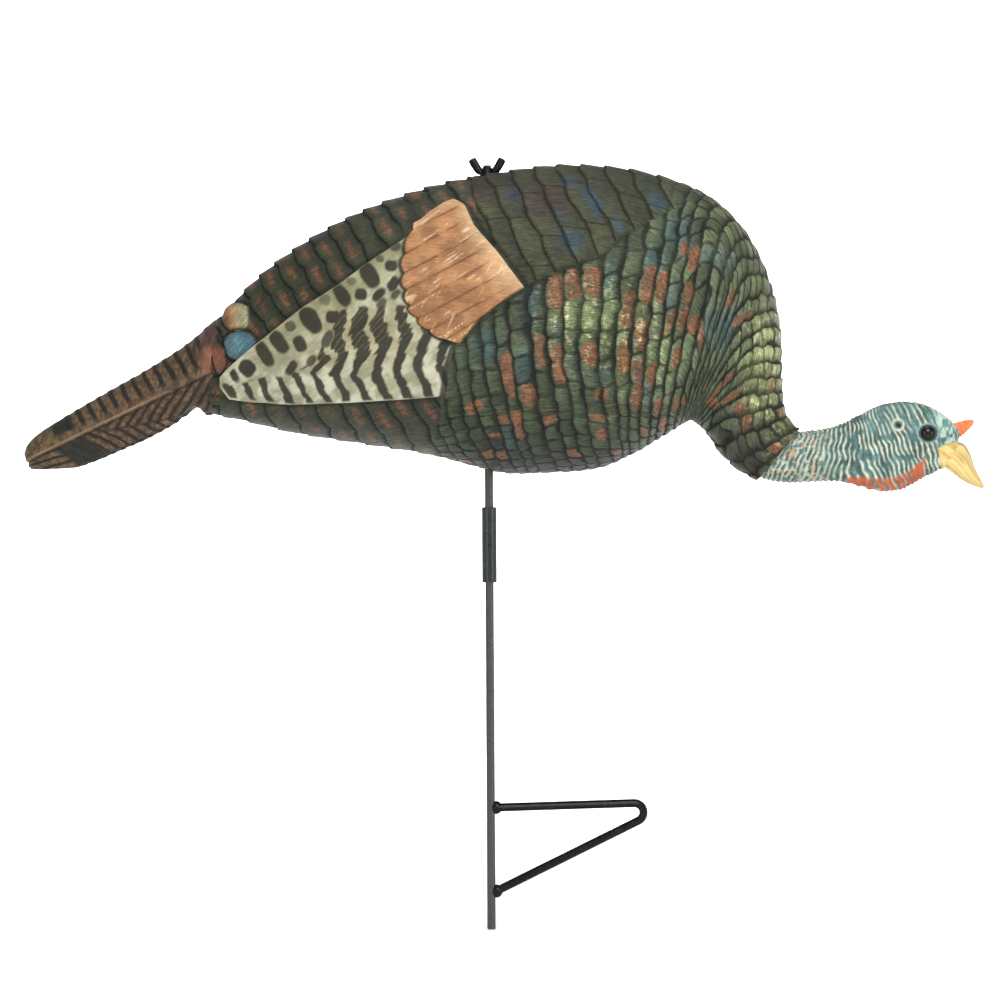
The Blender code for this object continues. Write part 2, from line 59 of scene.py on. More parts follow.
TAIL = np.array(
    (
        (-0.2200, 0.5265, -0.2293, 0.4400, 0.0365, 0.00),
        (-0.2313, 0.5190, -0.2393, 0.4390, 0.0370, 0.00),
        (-0.2610, 0.4960, -0.2560, 0.4290, 0.0365, 0.55),
        (-0.2950, 0.4750, -0.2820, 0.4165, 0.0350, 0.72),
        (-0.3290, 0.4560, -0.3140, 0.4025, 0.0325, 0.72),
        (-0.3630, 0.4358, -0.3460, 0.3895, 0.0285, 0.65),
        (-0.3800, 0.4250, -0.3670, 0.3865, 0.0240, 0.50),
        (-0.3905, 0.4155, -0.3820, 0.3885, 0.0170, 0.30),
        (-0.3945, 0.4065, -0.3895, 0.3930, 0.0080, 0.00),
    )
)
HEAD = np.array(
    (
        (0.2536, 0.4287, 0.2149, 0.3913, 0.0250),
        (0.2619, 0.4214, 0.2301, 0.3831, 0.0212),
        (0.2740, 0.4222, 0.2500, 0.3786, 0.0206),
        (0.2860, 0.4236, 0.2760, 0.3791, 0.0200),
        (0.3000, 0.4278, 0.2970, 0.3791, 0.0203),
        (0.3170, 0.4364, 0.3170, 0.3750, 0.0218),
        (0.3340, 0.4440, 0.3340, 0.3716, 0.0236),
        (0.3510, 0.4465, 0.3510, 0.3732, 0.0244),
        (0.3680, 0.4446, 0.3660, 0.3802, 0.0230),
        (0.3820, 0.4386, 0.3790, 0.3866, 0.0195),
        (0.3920, 0.4311, 0.3880, 0.3916, 0.0155),
        (0.4000, 0.4216, 0.3960, 0.4006, 0.0090),
    )
)
BEAK = np.array(
    (
        (0.3930, 0.4134, 0.3800, 0.3959, 0.0105),
        (0.4035, 0.4104, 0.3865, 0.3909, 0.0108),
        (0.4095, 0.4014, 0.3945, 0.3852, 0.0092),
        (0.4130, 0.3909, 0.4015, 0.3796, 0.0068),
        (0.4175, 0.3814, 0.4105, 0.3749, 0.0040),
        (0.4212, 0.3739, 0.4192, 0.3721, 0.0014),
    )
)
SNOOD = ((0.3955, 0.4205), (0.4125, 0.4300))
EYE = (0.3718, 0.0210, 0.4192)
EAR_X, EAR_Z = 346.5, 426.5
# the camera's aim and distance in mm: painted places are given as seen from it
VIEW_X, VIEW_Z, VIEW_DISTANCE = 9.3, 364.8, 5000.0
STEP = 6  # outer grid steps for each step of the inner wall
ROW_LEVEL = 509.0  # the height at which BREAST_ROWS are given
C_LENGTH = 46.0  # length of a scapular along its row


# ---------------------------------------------------------------- fields


def seen_flat(x, y, z):
    """Places in mm, spread from the view's centre as the nearer flank looks larger."""
    grow = VIEW_DISTANCE / (VIEW_DISTANCE - np.abs(y))
    return VIEW_X + (x - VIEW_X) * grow, VIEW_Z + (z - VIEW_Z) * grow


def hashed(i, j, seed):
    """A fixed random number from 0 to 1 for each whole-number pair."""
    i = np.asarray(i).astype(np.int64) & 0xFFFFFFFF
    j = np.asarray(j).astype(np.int64) & 0xFFFFFFFF
    n = (i * 374761393 + j * 668265263 + seed * 2246822519) & 0xFFFFFFFF
    n = ((n ^ (n >> 13)) * 1274126177) & 0xFFFFFFFF
    n = ((n ^ (n >> 16)) * 2654435761) & 0xFFFFFFFF
    return (n ^ (n >> 15)).astype(float) / 4294967295.0


def smooth(x):
    x = np.clip(x, 0.0, 1.0)
    return x * x * (3 - 2 * x)


def ramp(x, low, high):
    return smooth((x - low) / (high - low))


def noise(x, y, seed):
    """Smooth noise from 0 to 1, one feature to a unit."""
    i, j = np.floor(x), np.floor(y)
    u, v = smooth(x - i), smooth(y - j)
    low = hashed(i, j, seed) * (1 - u) + hashed(i + 1, j, seed) * u
    high = hashed(i, j + 1, seed) * (1 - u) + hashed(i + 1, j + 1, seed) * u
    return low * (1 - v) + high * v


def fractal(x, y, seed, octaves=3):
    total, weight, size = 0.0, 1.0, 0.0
    for k in range(octaves):
        total = total + weight * noise(x * 2**k, y * 2**k, seed + k)
        size += weight
        weight *= 0.5
    return total / size


def mix(a, b, f):
    f = np.asarray(f)[..., None]
    return np.asarray(a) * (1 - f) + np.asarray(b) * f


def coats(colour, *layers):
    """Lays (tone, amount) pairs over a colour, one after another."""
    for tone, amount in layers:
        colour = mix(colour, tone, amount)
    return colour


def part(x):
    """What is left of a number after its whole part."""
    return x - np.floor(x)


def bell(x, width):
    return np.exp(-((x / width) ** 2))


def three(*values):
    """Three values for each point, in one array."""
    return np.stack(np.broadcast_arrays(*values), -1)


def circle(count):
    return np.linspace(0, 2 * math.pi, count + 1)[:-1]


def travelled(points):
    """Distance along a line at each of its points."""
    return np.concatenate([[0], np.cumsum(np.linalg.norm(np.diff(points, axis=0), axis=1))])


def evenly(points, values, count):
    """Values at a count of places that are evenly spaced along a line of points."""
    total = travelled(points)
    return np.interp(np.linspace(0, total[-1], count), total, values)


def turned(dx, dz, angle):
    """Offsets along and across a line that is tilted up by an angle."""
    c, s = math.cos(angle), math.sin(angle)
    return dx * c + dz * s, dz * c - dx * s


def line_side(x, z, points):
    """Height above an open line that runs along X, given as (x, z) points in mm."""
    xs, zs = zip(*sorted(points))
    return z - np.interp(x, xs, zs)


def sections(table, t):
    """The section at each place along a table, by Catmull-Rom."""
    last = len(table) - 1
    i = np.clip(np.floor(t).astype(int), 0, last - 1)
    f = (t - i)[..., None]
    a, b = table[np.maximum(i - 1, 0)], table[i]
    c, d = table[i + 1], table[np.minimum(i + 2, last)]
    return 0.5 * (
        2 * b
        + (c - a) * f
        + (2 * a - 5 * b + 4 * c - d) * f**2
        + (3 * b - a - 3 * c + d) * f**3
    )


def on_oval(section, angle, inset=0.0):
    """Points round a section, at angles from its top. The Y side follows the angle's sine."""
    top, bottom = section[..., 0:2], section[..., 2:4]
    middle, up = (top + bottom) / 2, (top - bottom) / 2
    up = up * (1 - inset / np.linalg.norm(up, axis=-1))[..., None]
    side = section[..., 4] - inset
    s, c = np.sin(angle), np.cos(angle)
    across = np.sign(s) * np.abs(s) ** FULLNESS
    along = np.sign(c) * np.abs(c) ** FULLNESS
    xz = middle + up * along[..., None]
    return np.stack([xz[..., 0], side * across, xz[..., 1]], axis=-1)


def spread(table, count):
    """Places along a table, evenly spaced in distance along its top and its side together."""
    t = np.linspace(0, len(table) - 1, 800)
    total = 0.0
    for angle in (0.0, 0.5 * math.pi):
        total = total + travelled(on_oval(sections(table, t), np.full_like(t, angle)))
    return np.interp(np.linspace(0, total[-1], count), total, t)


def even_angles(section, count, fine, shape):
    """For each section, angles from the range of fine that are evenly spaced in distance."""
    return np.array([
        evenly(shape(np.broadcast_to(one, (len(fine), len(one))), fine), fine, count)
        for one in section
    ])


def normals_of(grid, outward):
    """Unit normals of a grid of points, turned to the side given by outward."""
    du = np.gradient(grid, axis=0)
    dv = np.gradient(grid, axis=1)
    n = np.cross(du, dv)
    n /= np.maximum(np.linalg.norm(n, axis=-1, keepdims=True), 1e-12)
    flip = np.sum(n * outward, axis=-1, keepdims=True) < 0
    return np.where(flip, -n, n)


def lengths(grid, axis):
    """Distance along one axis of a grid, in mm."""
    step = np.linalg.norm(np.diff(grid, axis=axis), axis=-1)
    zero = np.zeros_like(np.take(step, [0], axis=axis))
    return np.concatenate([zero, np.cumsum(step, axis=axis)], axis=axis) / MM


# ---------------------------------------------------------------- meshes


def srgb(*values):
    """Linear colour from display values of 0 to 255."""
    c = np.array(values, float) / 255
    return np.where(c <= 0.04045, c / 12.92, ((c + 0.055) / 1.055) ** 2.4)


def in_scene(name, data):
    obj = bpy.data.objects.new(name, data)
    bpy.context.scene.collection.objects.link(obj)
    return obj


def add_object(name, verts, faces, smooth_shading=True):
    mesh = bpy.data.meshes.new(name)
    mesh.from_pydata(np.asarray(verts).tolist(), [], faces)
    mesh.validate()
    if smooth_shading:
        mesh.shade_smooth()
    return in_scene(name, mesh)


def face_outward(mesh, merge=0.0):
    """Turns all faces outward, after joining points closer than merge."""
    shape = bmesh.new()
    shape.from_mesh(mesh)
    if merge:
        bmesh.ops.remove_doubles(shape, verts=shape.verts, dist=merge)
    bmesh.ops.recalc_face_normals(shape, faces=shape.faces)
    shape.to_mesh(mesh)
    shape.free()


def hand_over(obj, material, body, node=None):
    """Gives a finished piece its material, its body and the node it stands for."""
    obj.data.materials.clear()
    obj.data.materials.append(material)
    if node:
        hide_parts(node)
    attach(obj, body)


def tube_mesh(name, grid, caps=True):
    """A mesh through rings of points, closed at its ends by caps."""
    n, m = grid.shape[:2]
    left = np.arange(n * m).reshape(n, m)
    right = np.roll(left, -1, axis=1)
    faces = np.stack([left[:-1], right[:-1], right[1:], left[1:]], axis=-1)
    faces = faces.reshape(-1, 4).tolist()
    if caps:
        faces += [left[0].tolist(), left[-1][::-1].tolist()]
    return add_object(name, grid.reshape(-1, 3), faces)


def closed_sheet(name, fine, coarse, step):
    """A closed thin solid: a fine outer grid, a coarse inner grid, and a strip round the border."""
    n, m = fine.shape[:2]
    a, b = coarse.shape[:2]
    top = np.arange(n * m).reshape(n, m)
    low = np.arange(a * b).reshape(a, b) + n * m
    quads = np.stack([top[:-1, :-1], top[:-1, 1:], top[1:, 1:], top[1:, :-1]], -1)
    under = np.stack([low[:-1, :-1], low[1:, :-1], low[1:, 1:], low[:-1, 1:]], -1)
    faces = quads.reshape(-1, 4).tolist() + under.reshape(-1, 4).tolist()

    def border(g):
        return np.concatenate([g[0, :-1], g[:-1, -1], g[-1, :0:-1], g[:0:-1, 0]])

    outer, inner = border(top), border(low)
    assert len(outer) == step * len(inner)
    for k in range(len(inner)):
        start, end = inner[k], inner[(k + 1) % len(inner)]
        run = [outer[(k * step + i) % len(outer)] for i in range(step + 1)]
        faces.append([int(v) for v in (start, end, *run[::-1])])
    verts = np.concatenate([fine.reshape(-1, 3), coarse.reshape(-1, 3)])
    obj = add_object(name, verts, faces)
    face_outward(obj.data)
    return obj


def store(obj, name, values, colour=False, rest=0.0):
    """Stores a value of three numbers on the first vertices of an object."""
    count = len(obj.data.vertices)
    flat = values.reshape(-1, 3)
    rows = np.full((count, 4 if colour else 3), rest)
    rows[: len(flat), :3] = flat
    kind, key = ("FLOAT_COLOR", "color") if colour else ("FLOAT_VECTOR", "vector")
    layer = obj.data.attributes.new(name, kind, "POINT")
    layer.data.foreach_set(key, rows.ravel())


def paint(obj, colour, flow, extra=np.zeros((0, 3))):
    """Stores colour, flow coordinates and three more values on an object's outer skin."""
    store(obj, "paint", colour, True, BARE)
    store(obj, "flow", flow)
    store(obj, "extra", extra)
    obj.data.color_attributes.active_color_name = "paint"


# ---------------------------------------------------------------- materials


class Nodes:
    """Short calls for building a node material."""

    def __init__(self, name):
        self.material = bpy.data.materials.new(name)
        self.material.use_nodes = True
        self.tree = self.material.node_tree
        self.shader = self.tree.nodes["Principled BSDF"]

    def add(self, kind, **settings):
        node = self.tree.nodes.new(kind)
        for key, value in settings.items():
            setattr(node, key, value)
        return node

    def link(self, source, target):
        self.tree.links.new(source, target)

    def put(self, node, slot, value):
        """Links a socket to another node's output, or sets it to a plain value."""
        socket = node.inputs[slot]
        if hasattr(value, "is_linked"):
            self.link(value, socket)
        elif socket.type == "RGBA":
            socket.default_value = (*value, 1.0)
        else:
            socket.default_value = value

    def attribute(self, name):
        return self.add("ShaderNodeAttribute", attribute_name=name)

    def fill(self, node, **values):
        """Sets sockets by their names, with _ for a space."""
        for key, value in values.items():
            self.put(node, key.replace("_", " "), value)
        return node.outputs[0]

    def look(self, slot, value):
        self.put(self.shader, slot, value)

    def math(self, operation, a, b=0.0):
        node = self.add("ShaderNodeMath", operation=operation)
        self.put(node, 0, a)
        self.put(node, 1, b)
        return node.outputs[0]

    def times(self, a, *others):
        for b in others:
            a = self.math("MULTIPLY", a, b)
        return a

    def plus(self, a, b):
        return self.math("ADD", a, b)

    def minus(self, a, b):
        return self.math("SUBTRACT", a, b)

    def larger(self, a, b):
        return self.math("MAXIMUM", a, b)

    def between(self, low, high, factor):
        return self.plus(low, self.times(factor, self.minus(high, low)))

    def noise(self, vector, scale, detail=2.0, roughness=0.5):
        node = self.add("ShaderNodeTexNoise")
        return self.fill(node, Vector=vector, Scale=scale, Detail=detail, Roughness=roughness)

    def scaled(self, vector, scale):
        return self.fill(self.add("ShaderNodeMapping"), Vector=vector, Scale=scale)

    def to_range(self, value, low, high, out_low=0.0, out_high=1.0):
        node = self.add("ShaderNodeMapRange")
        return self.fill(
            node, Value=value, From_Min=low, From_Max=high, To_Min=out_low, To_Max=out_high
        )

    def blend(self, a, b, factor, mode="MIX"):
        node = self.add("ShaderNodeMix", data_type="RGBA", blend_type=mode)
        for slot, value in (("Factor", factor), (6, a), (7, b)):
            self.put(node, slot, value)
        return node.outputs[2]

    def dimmed(self, colour, value):
        """A colour times a single value."""
        grey = self.add("ShaderNodeCombineColor")
        for i in range(3):
            self.link(value, grey.inputs[i])
        return self.blend(colour, grey.outputs[0], 1.0, "MULTIPLY")

    def bump(self, height, strength, distance, below=None):
        node = self.add("ShaderNodeBump")
        if below is not None:
            self.link(below, node.inputs["Normal"])
        return self.fill(node, Height=height, Strength=strength, Distance=distance)

    def position(self):
        return self.add("ShaderNodeTexCoord").outputs["Object"]

    def three(self, name):
        """The three numbers of an attribute."""
        node = self.add("ShaderNodeSeparateXYZ")
        self.link(self.attribute(name).outputs["Vector"], node.inputs[0])
        return node.outputs

    def barbs(self, wobble, reach, coarse, fine, share):
        """Barbs that run along the flow and splay a little: coarse and fine noise together."""
        flow = self.attribute("flow").outputs["Vector"]
        shift = self.add("ShaderNodeCombineXYZ")
        self.link(self.times(self.noise(self.scaled(flow, wobble), 1.0), reach), shift.inputs[0])
        moved = self.add("ShaderNodeVectorMath", operation="ADD")
        self.link(flow, moved.inputs[0])
        self.link(shift.outputs[0], moved.inputs[1])
        wide = self.noise(self.scaled(moved.outputs[0], coarse), 1.0, 2.5, 0.6)
        thin = self.noise(self.scaled(moved.outputs[0], fine), 1.0, 2.0, 0.6)
        return self.plus(self.times(wide, share), self.times(thin, 1 - share))


def feather_material(name, barb=1.0, roughness=0.5, contrast=0.45, metallic=0.0):
    """Painted moulded foam: vertex paint, broken up by fine barbs that run along the flow."""
    n = Nodes(name)
    place = n.position()
    crack, metal, _ = n.three("extra")
    coarse, fine = (0.55 * barb, 0.055 * barb, 11.0), (1.7 * barb, 0.15 * barb, 5.0)
    both = n.barbs((0.10, 0.10, 7.0), 3.0, coarse, fine, 0.65)
    streak = n.to_range(both, 0.36, 0.64)
    grain = n.noise(place, 900.0, 3.0, 0.6)
    mottle = n.noise(place, 60.0, 3.0, 0.6)
    shade = n.times(
        n.to_range(streak, 0.0, 1.0, 1.0 - contrast, 1.0 + contrast * 0.9),
        n.to_range(mottle, 0.3, 0.7, 0.82, 1.15),
        n.to_range(grain, 0.3, 0.7, 0.93, 1.07),
    )
    n.look("Base Color", n.dimmed(n.attribute("paint").outputs["Color"], shade))
    rough = n.to_range(streak, 0.0, 1.0, roughness + 0.12, roughness - 0.08)
    n.look("Roughness", n.plus(rough, n.times(crack, 0.3)))
    n.look("Metallic", n.times(metal, metallic))
    n.look("Specular IOR Level", 0.28)
    n.look("Normal", n.bump(streak, 0.55, 0.0005, n.bump(grain, 0.10, 0.0002)))
    return n.material


def shingle_nodes(n, rows, lay):
    """The shader's copy of shingles(): along, across, distance in mm behind the tip in front,
    and a random colour for each feather."""
    v, u, third = n.three(rows)
    base = n.math("FLOOR", v)

    def one(row):
        turn = n.math("SINE", n.plus(n.times(row, 2.4), lay["seed"]))
        moved = n.plus(n.times(row, lay["offset"]), n.times(turn, lay["jitter"]))
        place = n.plus(u, moved)
        across = n.math("FRACT", place)
        centred = n.minus(n.times(across, 2.0), 1.0)
        return n.math("FLOOR", place), across, n.times(centred, centred, lay["curve"])

    _, _, bend_a = one(n.minus(base, 1.0))
    cell_b, across_b, bend_b = one(base)
    cell_c, across_c, bend_c = one(n.plus(base, 1.0))
    inside = n.minus(v, base)
    past = n.minus(n.plus(inside, bend_b), 1.0)
    over = n.math("GREATER_THAN", past, 0.0)
    behind = n.between(n.plus(inside, bend_a), past, over)
    ahead_b = n.times(past, -1.0)
    ahead_c = n.minus(n.minus(2.0, bend_c), inside)
    ahead = n.between(ahead_b, ahead_c, over)
    along = n.math("DIVIDE", behind, n.larger(n.plus(behind, ahead), 0.0001))
    key = n.add("ShaderNodeCombineXYZ")
    n.link(n.plus(base, over), key.inputs[0])
    n.link(n.between(cell_b, cell_c, over), key.inputs[1])
    key.inputs[2].default_value = lay["seed"]
    random = n.add("ShaderNodeTexWhiteNoise", noise_dimensions="3D")
    n.link(key.outputs[0], random.inputs["Vector"])
    picks = n.add("ShaderNodeSeparateColor")
    n.link(random.outputs["Color"], picks.inputs[0])
    return {
        "along": along,
        "across": n.between(across_b, across_c, over),
        "behind": n.times(behind, lay["pitch"]),
        "picks": picks.outputs,
        "third": third,
    }


def window(n, value, low, rise, fall, high):
    """1 between rise and fall, 0 outside low and high."""
    return n.times(n.to_range(value, low, rise), n.to_range(value, high, fall))


def nearer_side(n, across):
    """How far the nearer side of a feather is, as a share of its width."""
    return n.math("MINIMUM", across, n.minus(1.0, across))


def plumage_material():
    """The body's paint: each feather gets its own tone, spot, rim and barbs, with painted shade
    under the feather in front and in the gaps, and a painted highlight before its tip.
    """
    n = Nodes("painted_plumage")
    ground = n.attribute("paint").outputs["Color"]
    rust_chance, rust_paint, gold_and_highlight = n.three("zone")
    dark, plain, flat = n.three("extra")
    place = n.position()
    a = shingle_nodes(n, "rows_a", LAY_A)
    b = shingle_nodes(n, "rows_b", LAY_B)
    c = shingle_nodes(n, "rows_c", LAY_C)
    is_b, is_c = b["third"], c["third"]
    mottle = n.noise(place, 55.0, 4.0, 0.62)
    speckle = n.noise(place, 420.0, 3.0, 0.6)
    grain = n.noise(place, 1100.0, 2.0, 0.5)
    ragged = n.times(n.minus(n.noise(place, 260.0, 3.0, 0.6), 0.5), 0.34)
    barbs = n.barbs((0.12, 0.12, 0.0), 4.0, (0.62, 0.075, 0.0), (1.9, 0.16, 0.0), 0.55)
    barbs = n.to_range(barbs, 0.38, 0.62)

    # breast: each feather's tone, darker under the tip in front as painted shade and lighter before
    # its own tip as a painted highlight; its airbrushed rust; and painted glints along its edge in
    # the gold zone
    tone = n.to_range(a["picks"][0], 0.0, 1.0, 0.64, 1.32)
    rim_light = n.times(window(n, a["along"], 0.25, 0.75, 0.9, 1.05), 0.5)
    tone = n.times(tone, n.plus(rim_light, n.to_range(a["along"], 0.0, 0.5, 0.62, 0.92)))
    breast = n.dimmed(ground, tone)
    rows_u = n.plus(a["across"], ragged)
    rows_v = n.plus(a["along"], ragged)
    spot = n.times(
        window(n, rows_u, 0.05, 0.20, 0.78, 0.94), window(n, rows_v, 0.10, 0.34, 0.86, 1.02)
    )
    is_rust = n.times(n.math("LESS_THAN", a["picks"][2], rust_chance), spot)
    painted = n.to_range(n.plus(rust_paint, n.times(ragged, 1.2)), 0.30, 0.62)
    is_rust = n.larger(is_rust, painted)
    rust_tone = n.blend(srgb(96, 60, 40), srgb(118, 76, 50), n.to_range(speckle, 0.35, 0.65))
    breast = n.blend(breast, rust_tone, n.times(is_rust, n.to_range(mottle, 0.3, 0.7, 0.62, 0.92)))
    # painted highlight: bright glints along each feather's edge where the gold zone lies
    glint = n.to_range(n.noise(place, 190.0, 2.0, 0.5), 0.50, 0.66)
    glint_highlight = n.times(gold_and_highlight, glint, window(n, rows_v, 0.30, 0.55, 0.88, 1.0), barbs, 0.80)
    breast = n.blend(breast, srgb(208, 204, 164), glint_highlight)
    uneven = n.times(n.minus(n.noise(place, 62.0, 3.0, 0.6), 0.5), 8.0)
    uneven = n.plus(uneven, n.times(ragged, 4.5))
    # painted shade: dark in the gap just behind the tip in front, and down each feather's sides
    crack_a = n.to_range(n.plus(a["behind"], uneven), 1.6, 4.0, 1.0, 0.0)
    side = n.times(nearer_side(n, a["across"]), a["third"])
    side_crack = n.to_range(n.plus(side, n.times(uneven, 0.6)), 0.4, 2.1)
    side_crack = n.times(
        n.minus(1.0, side_crack),
        n.to_range(a["third"], 13.0, 24.0, 1.0, 0.85),
        n.minus(1.0, painted),
    )
    crack_a = n.larger(crack_a, side_crack)
    crack_a = n.times(crack_a, n.to_range(n.noise(place, 34.0, 2.0), 0.36, 0.56, 0.55, 1.0))

    # scapulars: each feather darker under the one in front, as painted shade, and painted shade in
    # the gaps
    tone = n.to_range(c["picks"][0], 0.0, 1.0, 0.80, 1.22)
    cape = n.dimmed(ground, n.times(tone, n.to_range(c["along"], 0.0, 0.7, 0.66, 1.08)))
    crack_c = n.to_range(n.plus(c["behind"], n.times(uneven, 0.5)), 0.8, 2.8, 0.85, 0.0)
    side = n.times(nearer_side(n, c["across"]), C_LENGTH)
    crack_c = n.larger(crack_c, n.to_range(side, 0.3, 1.3, 0.6, 0.0))

    # rump: each feather darker under the one in front, as painted shade, with rust flecks and
    # painted shade in the gaps
    tone = n.to_range(b["picks"][0], 0.0, 1.0, 0.84, 1.16)
    rump = n.dimmed(ground, n.times(tone, n.to_range(b["along"], 0.0, 0.6, 0.62, 1.10)))
    not_plain = n.minus(1.0, plain)
    fleck = n.times(
        window(n, n.plus(b["along"], ragged), 0.36, 0.52, 0.62, 0.78),
        window(n, n.plus(b["across"], ragged), 0.08, 0.30, 0.70, 0.92),
    )
    fleck = n.times(
        fleck,
        n.to_range(speckle, 0.36, 0.56, 0.15, 1.0),
        n.to_range(b["picks"][1], 0.15, 0.5, 0.25, 1.0),
        not_plain,
        0.80,
    )
    rump = n.blend(rump, srgb(104, 64, 44), fleck)
    crack_b = n.to_range(n.plus(b["behind"], n.times(uneven, 0.5)), 1.5, 4.6, 1.0, 0.0)
    crack_b = n.times(crack_b, not_plain)

    # all of it together, then the grain that runs through every zone
    colour = n.blend(n.blend(breast, cape, is_c), rump, is_b)
    colour = n.blend(colour, ground, plain)
    shade = n.times(
        n.to_range(barbs, 0.0, 1.0, 0.55, 1.50),
        n.to_range(mottle, 0.3, 0.7, 0.66, 1.32),
        n.to_range(speckle, 0.3, 0.7, 0.84, 1.18),
        n.to_range(grain, 0.3, 0.7, 0.90, 1.10),
    )
    colour = n.dimmed(colour, shade)
    # painted shade: the gaps between feathers and the lines along the panels' edges, darkened
    # towards the crack colour
    crack = n.between(n.between(crack_a, crack_c, is_c), crack_b, is_b)
    crack = n.times(n.larger(crack, dark), n.minus(1.0, flat))
    n.look("Base Color", n.blend(colour, CRACK_SHADE, n.times(crack, 0.94)))
    rough = n.to_range(barbs, 0.0, 1.0, 0.62, 0.40)
    n.look("Roughness", n.plus(rough, n.times(crack, 0.3)))
    shine = n.times(n.minus(1.0, is_b), n.minus(1.0, crack))
    n.look("Metallic", n.times(shine, n.to_range(gold_and_highlight, 0.0, 1.0, 0.12, 0.40)))
    n.look("Specular IOR Level", 0.30)
    height = n.minus(n.times(barbs, 0.35), crack)
    n.look("Normal", n.bump(height, 0.75, 0.0009, n.bump(grain, 0.10, 0.0002)))
    return n.material


def coated_metal(name, colour, worn, roughness, metallic, specular):
    """Dark coated steel, with faint specks, drawn marks and rubbed patches."""
    n = Nodes(name)
    place = n.position()
    patches = n.noise(place, 70.0, 4.0, 0.65)
    drawn = n.noise(n.scaled(place, (900.0, 900.0, 25.0)), 1.0, 3.0, 0.6)
    specks = n.noise(place, 1500.0, 2.0, 0.5)
    rubbed = n.to_range(n.plus(patches, n.times(drawn, 0.25)), 0.66, 0.82)
    base = n.blend(colour, worn, n.times(rubbed, 0.30))
    base = n.blend(base, tuple(0.55 * c for c in colour), n.to_range(specks, 0.62, 0.72, 0.0, 0.6))
    n.look("Base Color", base)
    n.look("Roughness", n.to_range(patches, 0.3, 0.75, roughness - 0.07, roughness + 0.12))
    n.look("Metallic", metallic)
    n.look("Specular IOR Level", specular)
    n.look("Normal", n.bump(specks, 0.12, 0.0001, n.bump(drawn, 0.08, 0.0002)))
    return n.material


# ---------------------------------------------------------------- feathers


def shingles(v, u, lay):
    """Rows of overlapping feathers: v counts rows towards the tail, u feathers along a row.

    Returns how far each point is along its feather (0 under the tip in front, 1 at its own
    tip), its place across the feather, and the distance in rows from the tip in front.
    """
    base = np.floor(v)

    def one(row):
        across = part(u + lay["offset"] * row + lay["jitter"] * np.sin(2.4 * row + lay["seed"]))
        return across, lay["curve"] * (2 * across - 1) ** 2

    (_, bend_a), (across_b, bend_b), (across_c, bend_c) = one(base - 1), one(base), one(base + 1)
    past = v - base + bend_b - 1
    over = past > 0
    behind = np.where(over, past, v - base + bend_a)
    ahead = np.where(over, base + 2 - bend_c - v, -past)
    along = behind / np.maximum(behind + ahead, 1e-6)
    return along, np.where(over, across_c, across_b), behind


# how each kind's feathers lie: breast, rump and scapulars. The pitch is in mm from row to row
LAY_A = {"curve": 0.11, "offset": 0.37, "jitter": 0.42, "seed": 1.0, "pitch": 12.4}
LAY_B = {"curve": 0.14, "offset": 0.50, "jitter": 0.10, "seed": 2.0, "pitch": 21.0}
LAY_C = {"curve": 0.14, "offset": 0.43, "jitter": 0.30, "seed": 3.0, "pitch": 21.0}


def body_grid():
    """The undisplaced right-hand skin and its inner wall."""
    n, m = 78 * STEP + 1, 32 * STEP + 1
    t = spread(BODY, n)
    section = sections(BODY, t)
    angle = even_angles(section, m, np.linspace(0, math.pi, 721), on_oval)
    wide = np.repeat(section[:, None, :], m, axis=1)
    grid = on_oval(wide, angle)
    grid[..., 1] *= -1
    inner = on_oval(wide[::STEP, ::STEP], angle[::STEP, ::STEP], WALL)
    inner[..., 1] *= -1
    return t, section, grid, inner


SHOULDER_LINE = (
    (-19, 520), (22, 541), (31, 545), (66, 562), (99, 573), (114, 588), (141, 603), (175, 618),
    (230, 640),
)
WING_TOP = (
    (-260, 440), (-229, 466), (-205, 492), (-180, 512), (-157, 530), (-127, 549), (-100, 569),
    (-74, 586), (-55, 600), (-30, 619), (-10, 640),
)
WING_LOW = ((-260, 462), (-223, 453), (-202, 450), (-166, 447), (-78, 450), (-38, 452), (0, 520))
# where the breast ends towards the tail, as heights and places along the bird in mm
BREAST_END = (
    (385, -48), (430, -44), (452, -38), (480, -34), (495, -30), (500, -24), (516, -10), (530, 9),
    (545.7, 31), (558.5, 22), (576, 9), (597.6, -10), (615.4, -19), (619, -30), (640, -45),
)

DARK = srgb(66, 72, 55)
OLIVE = srgb(96, 98, 78)
GOLD_AND_HIGHLIGHT = srgb(144, 145, 110)
# the colour of painted shade in the gaps between feathers and along the panels' edges
CRACK_SHADE = srgb(17, 19, 13)

# dark lines between the breast's rows, as places along the bird at ROW_LEVEL, in mm
BREAST_ROWS = (
    -22.0, -8.0, 6.5, 18.5, 36.5, 50.0, 63.5, 78.0, 96.0, 110.5, 124.0, 136.5, 148.0, 158.0, 168.0,
    179.0, 188.0,
)
# painted rust on the breast: place, half-height and lean in degrees
RUST_SPOTS = (
    (51.7, 541.5, 17, 0), (72.1, 547.4, 14, 0), (87.4, 550.0, 13, 0), (134.2, 547.4, 17, 4),
    (148.6, 544.9, 14, 0), (44.9, 492.2, 14, -10), (60.2, 479.4, 18, -8), (16.9, 470.9, 19, -14),
    (41.5, 453.9, 10, 0), (-12.1, 443.7, 8, 60), (27.9, 428.4, 12, 0), (89.1, 487.9, 11, 0),
    (118.9, 526.2, 16, 0), (118.9, 485.4, 15, 0), (127.4, 504.9, 14, 0), (162.2, 517.7, 11, 0),
    (172.4, 513.4, 9, 0), (159.6, 483.7, 10, -6), (140.1, 470.9, 10, -8), (96.0, 454.0, 6, 80),
    (127.4, 453.9, 12, 6), (203.9, 534.7, 8, 0), (217.5, 517.7, 6, 0), (170.7, 568.7, 11, 0),
    (174.1, 540.6, 9, 0), (140.1, 442.8, 8, 0), (157.1, 445.4, 7, 0), (146.9, 428.4, 6, 0),
    (96.0, 420.0, 5, 30), (170.0, 578.0, 6, 0), (214.0, 441.0, 6, 50), (190.0, 446.0, 5, 40),
)
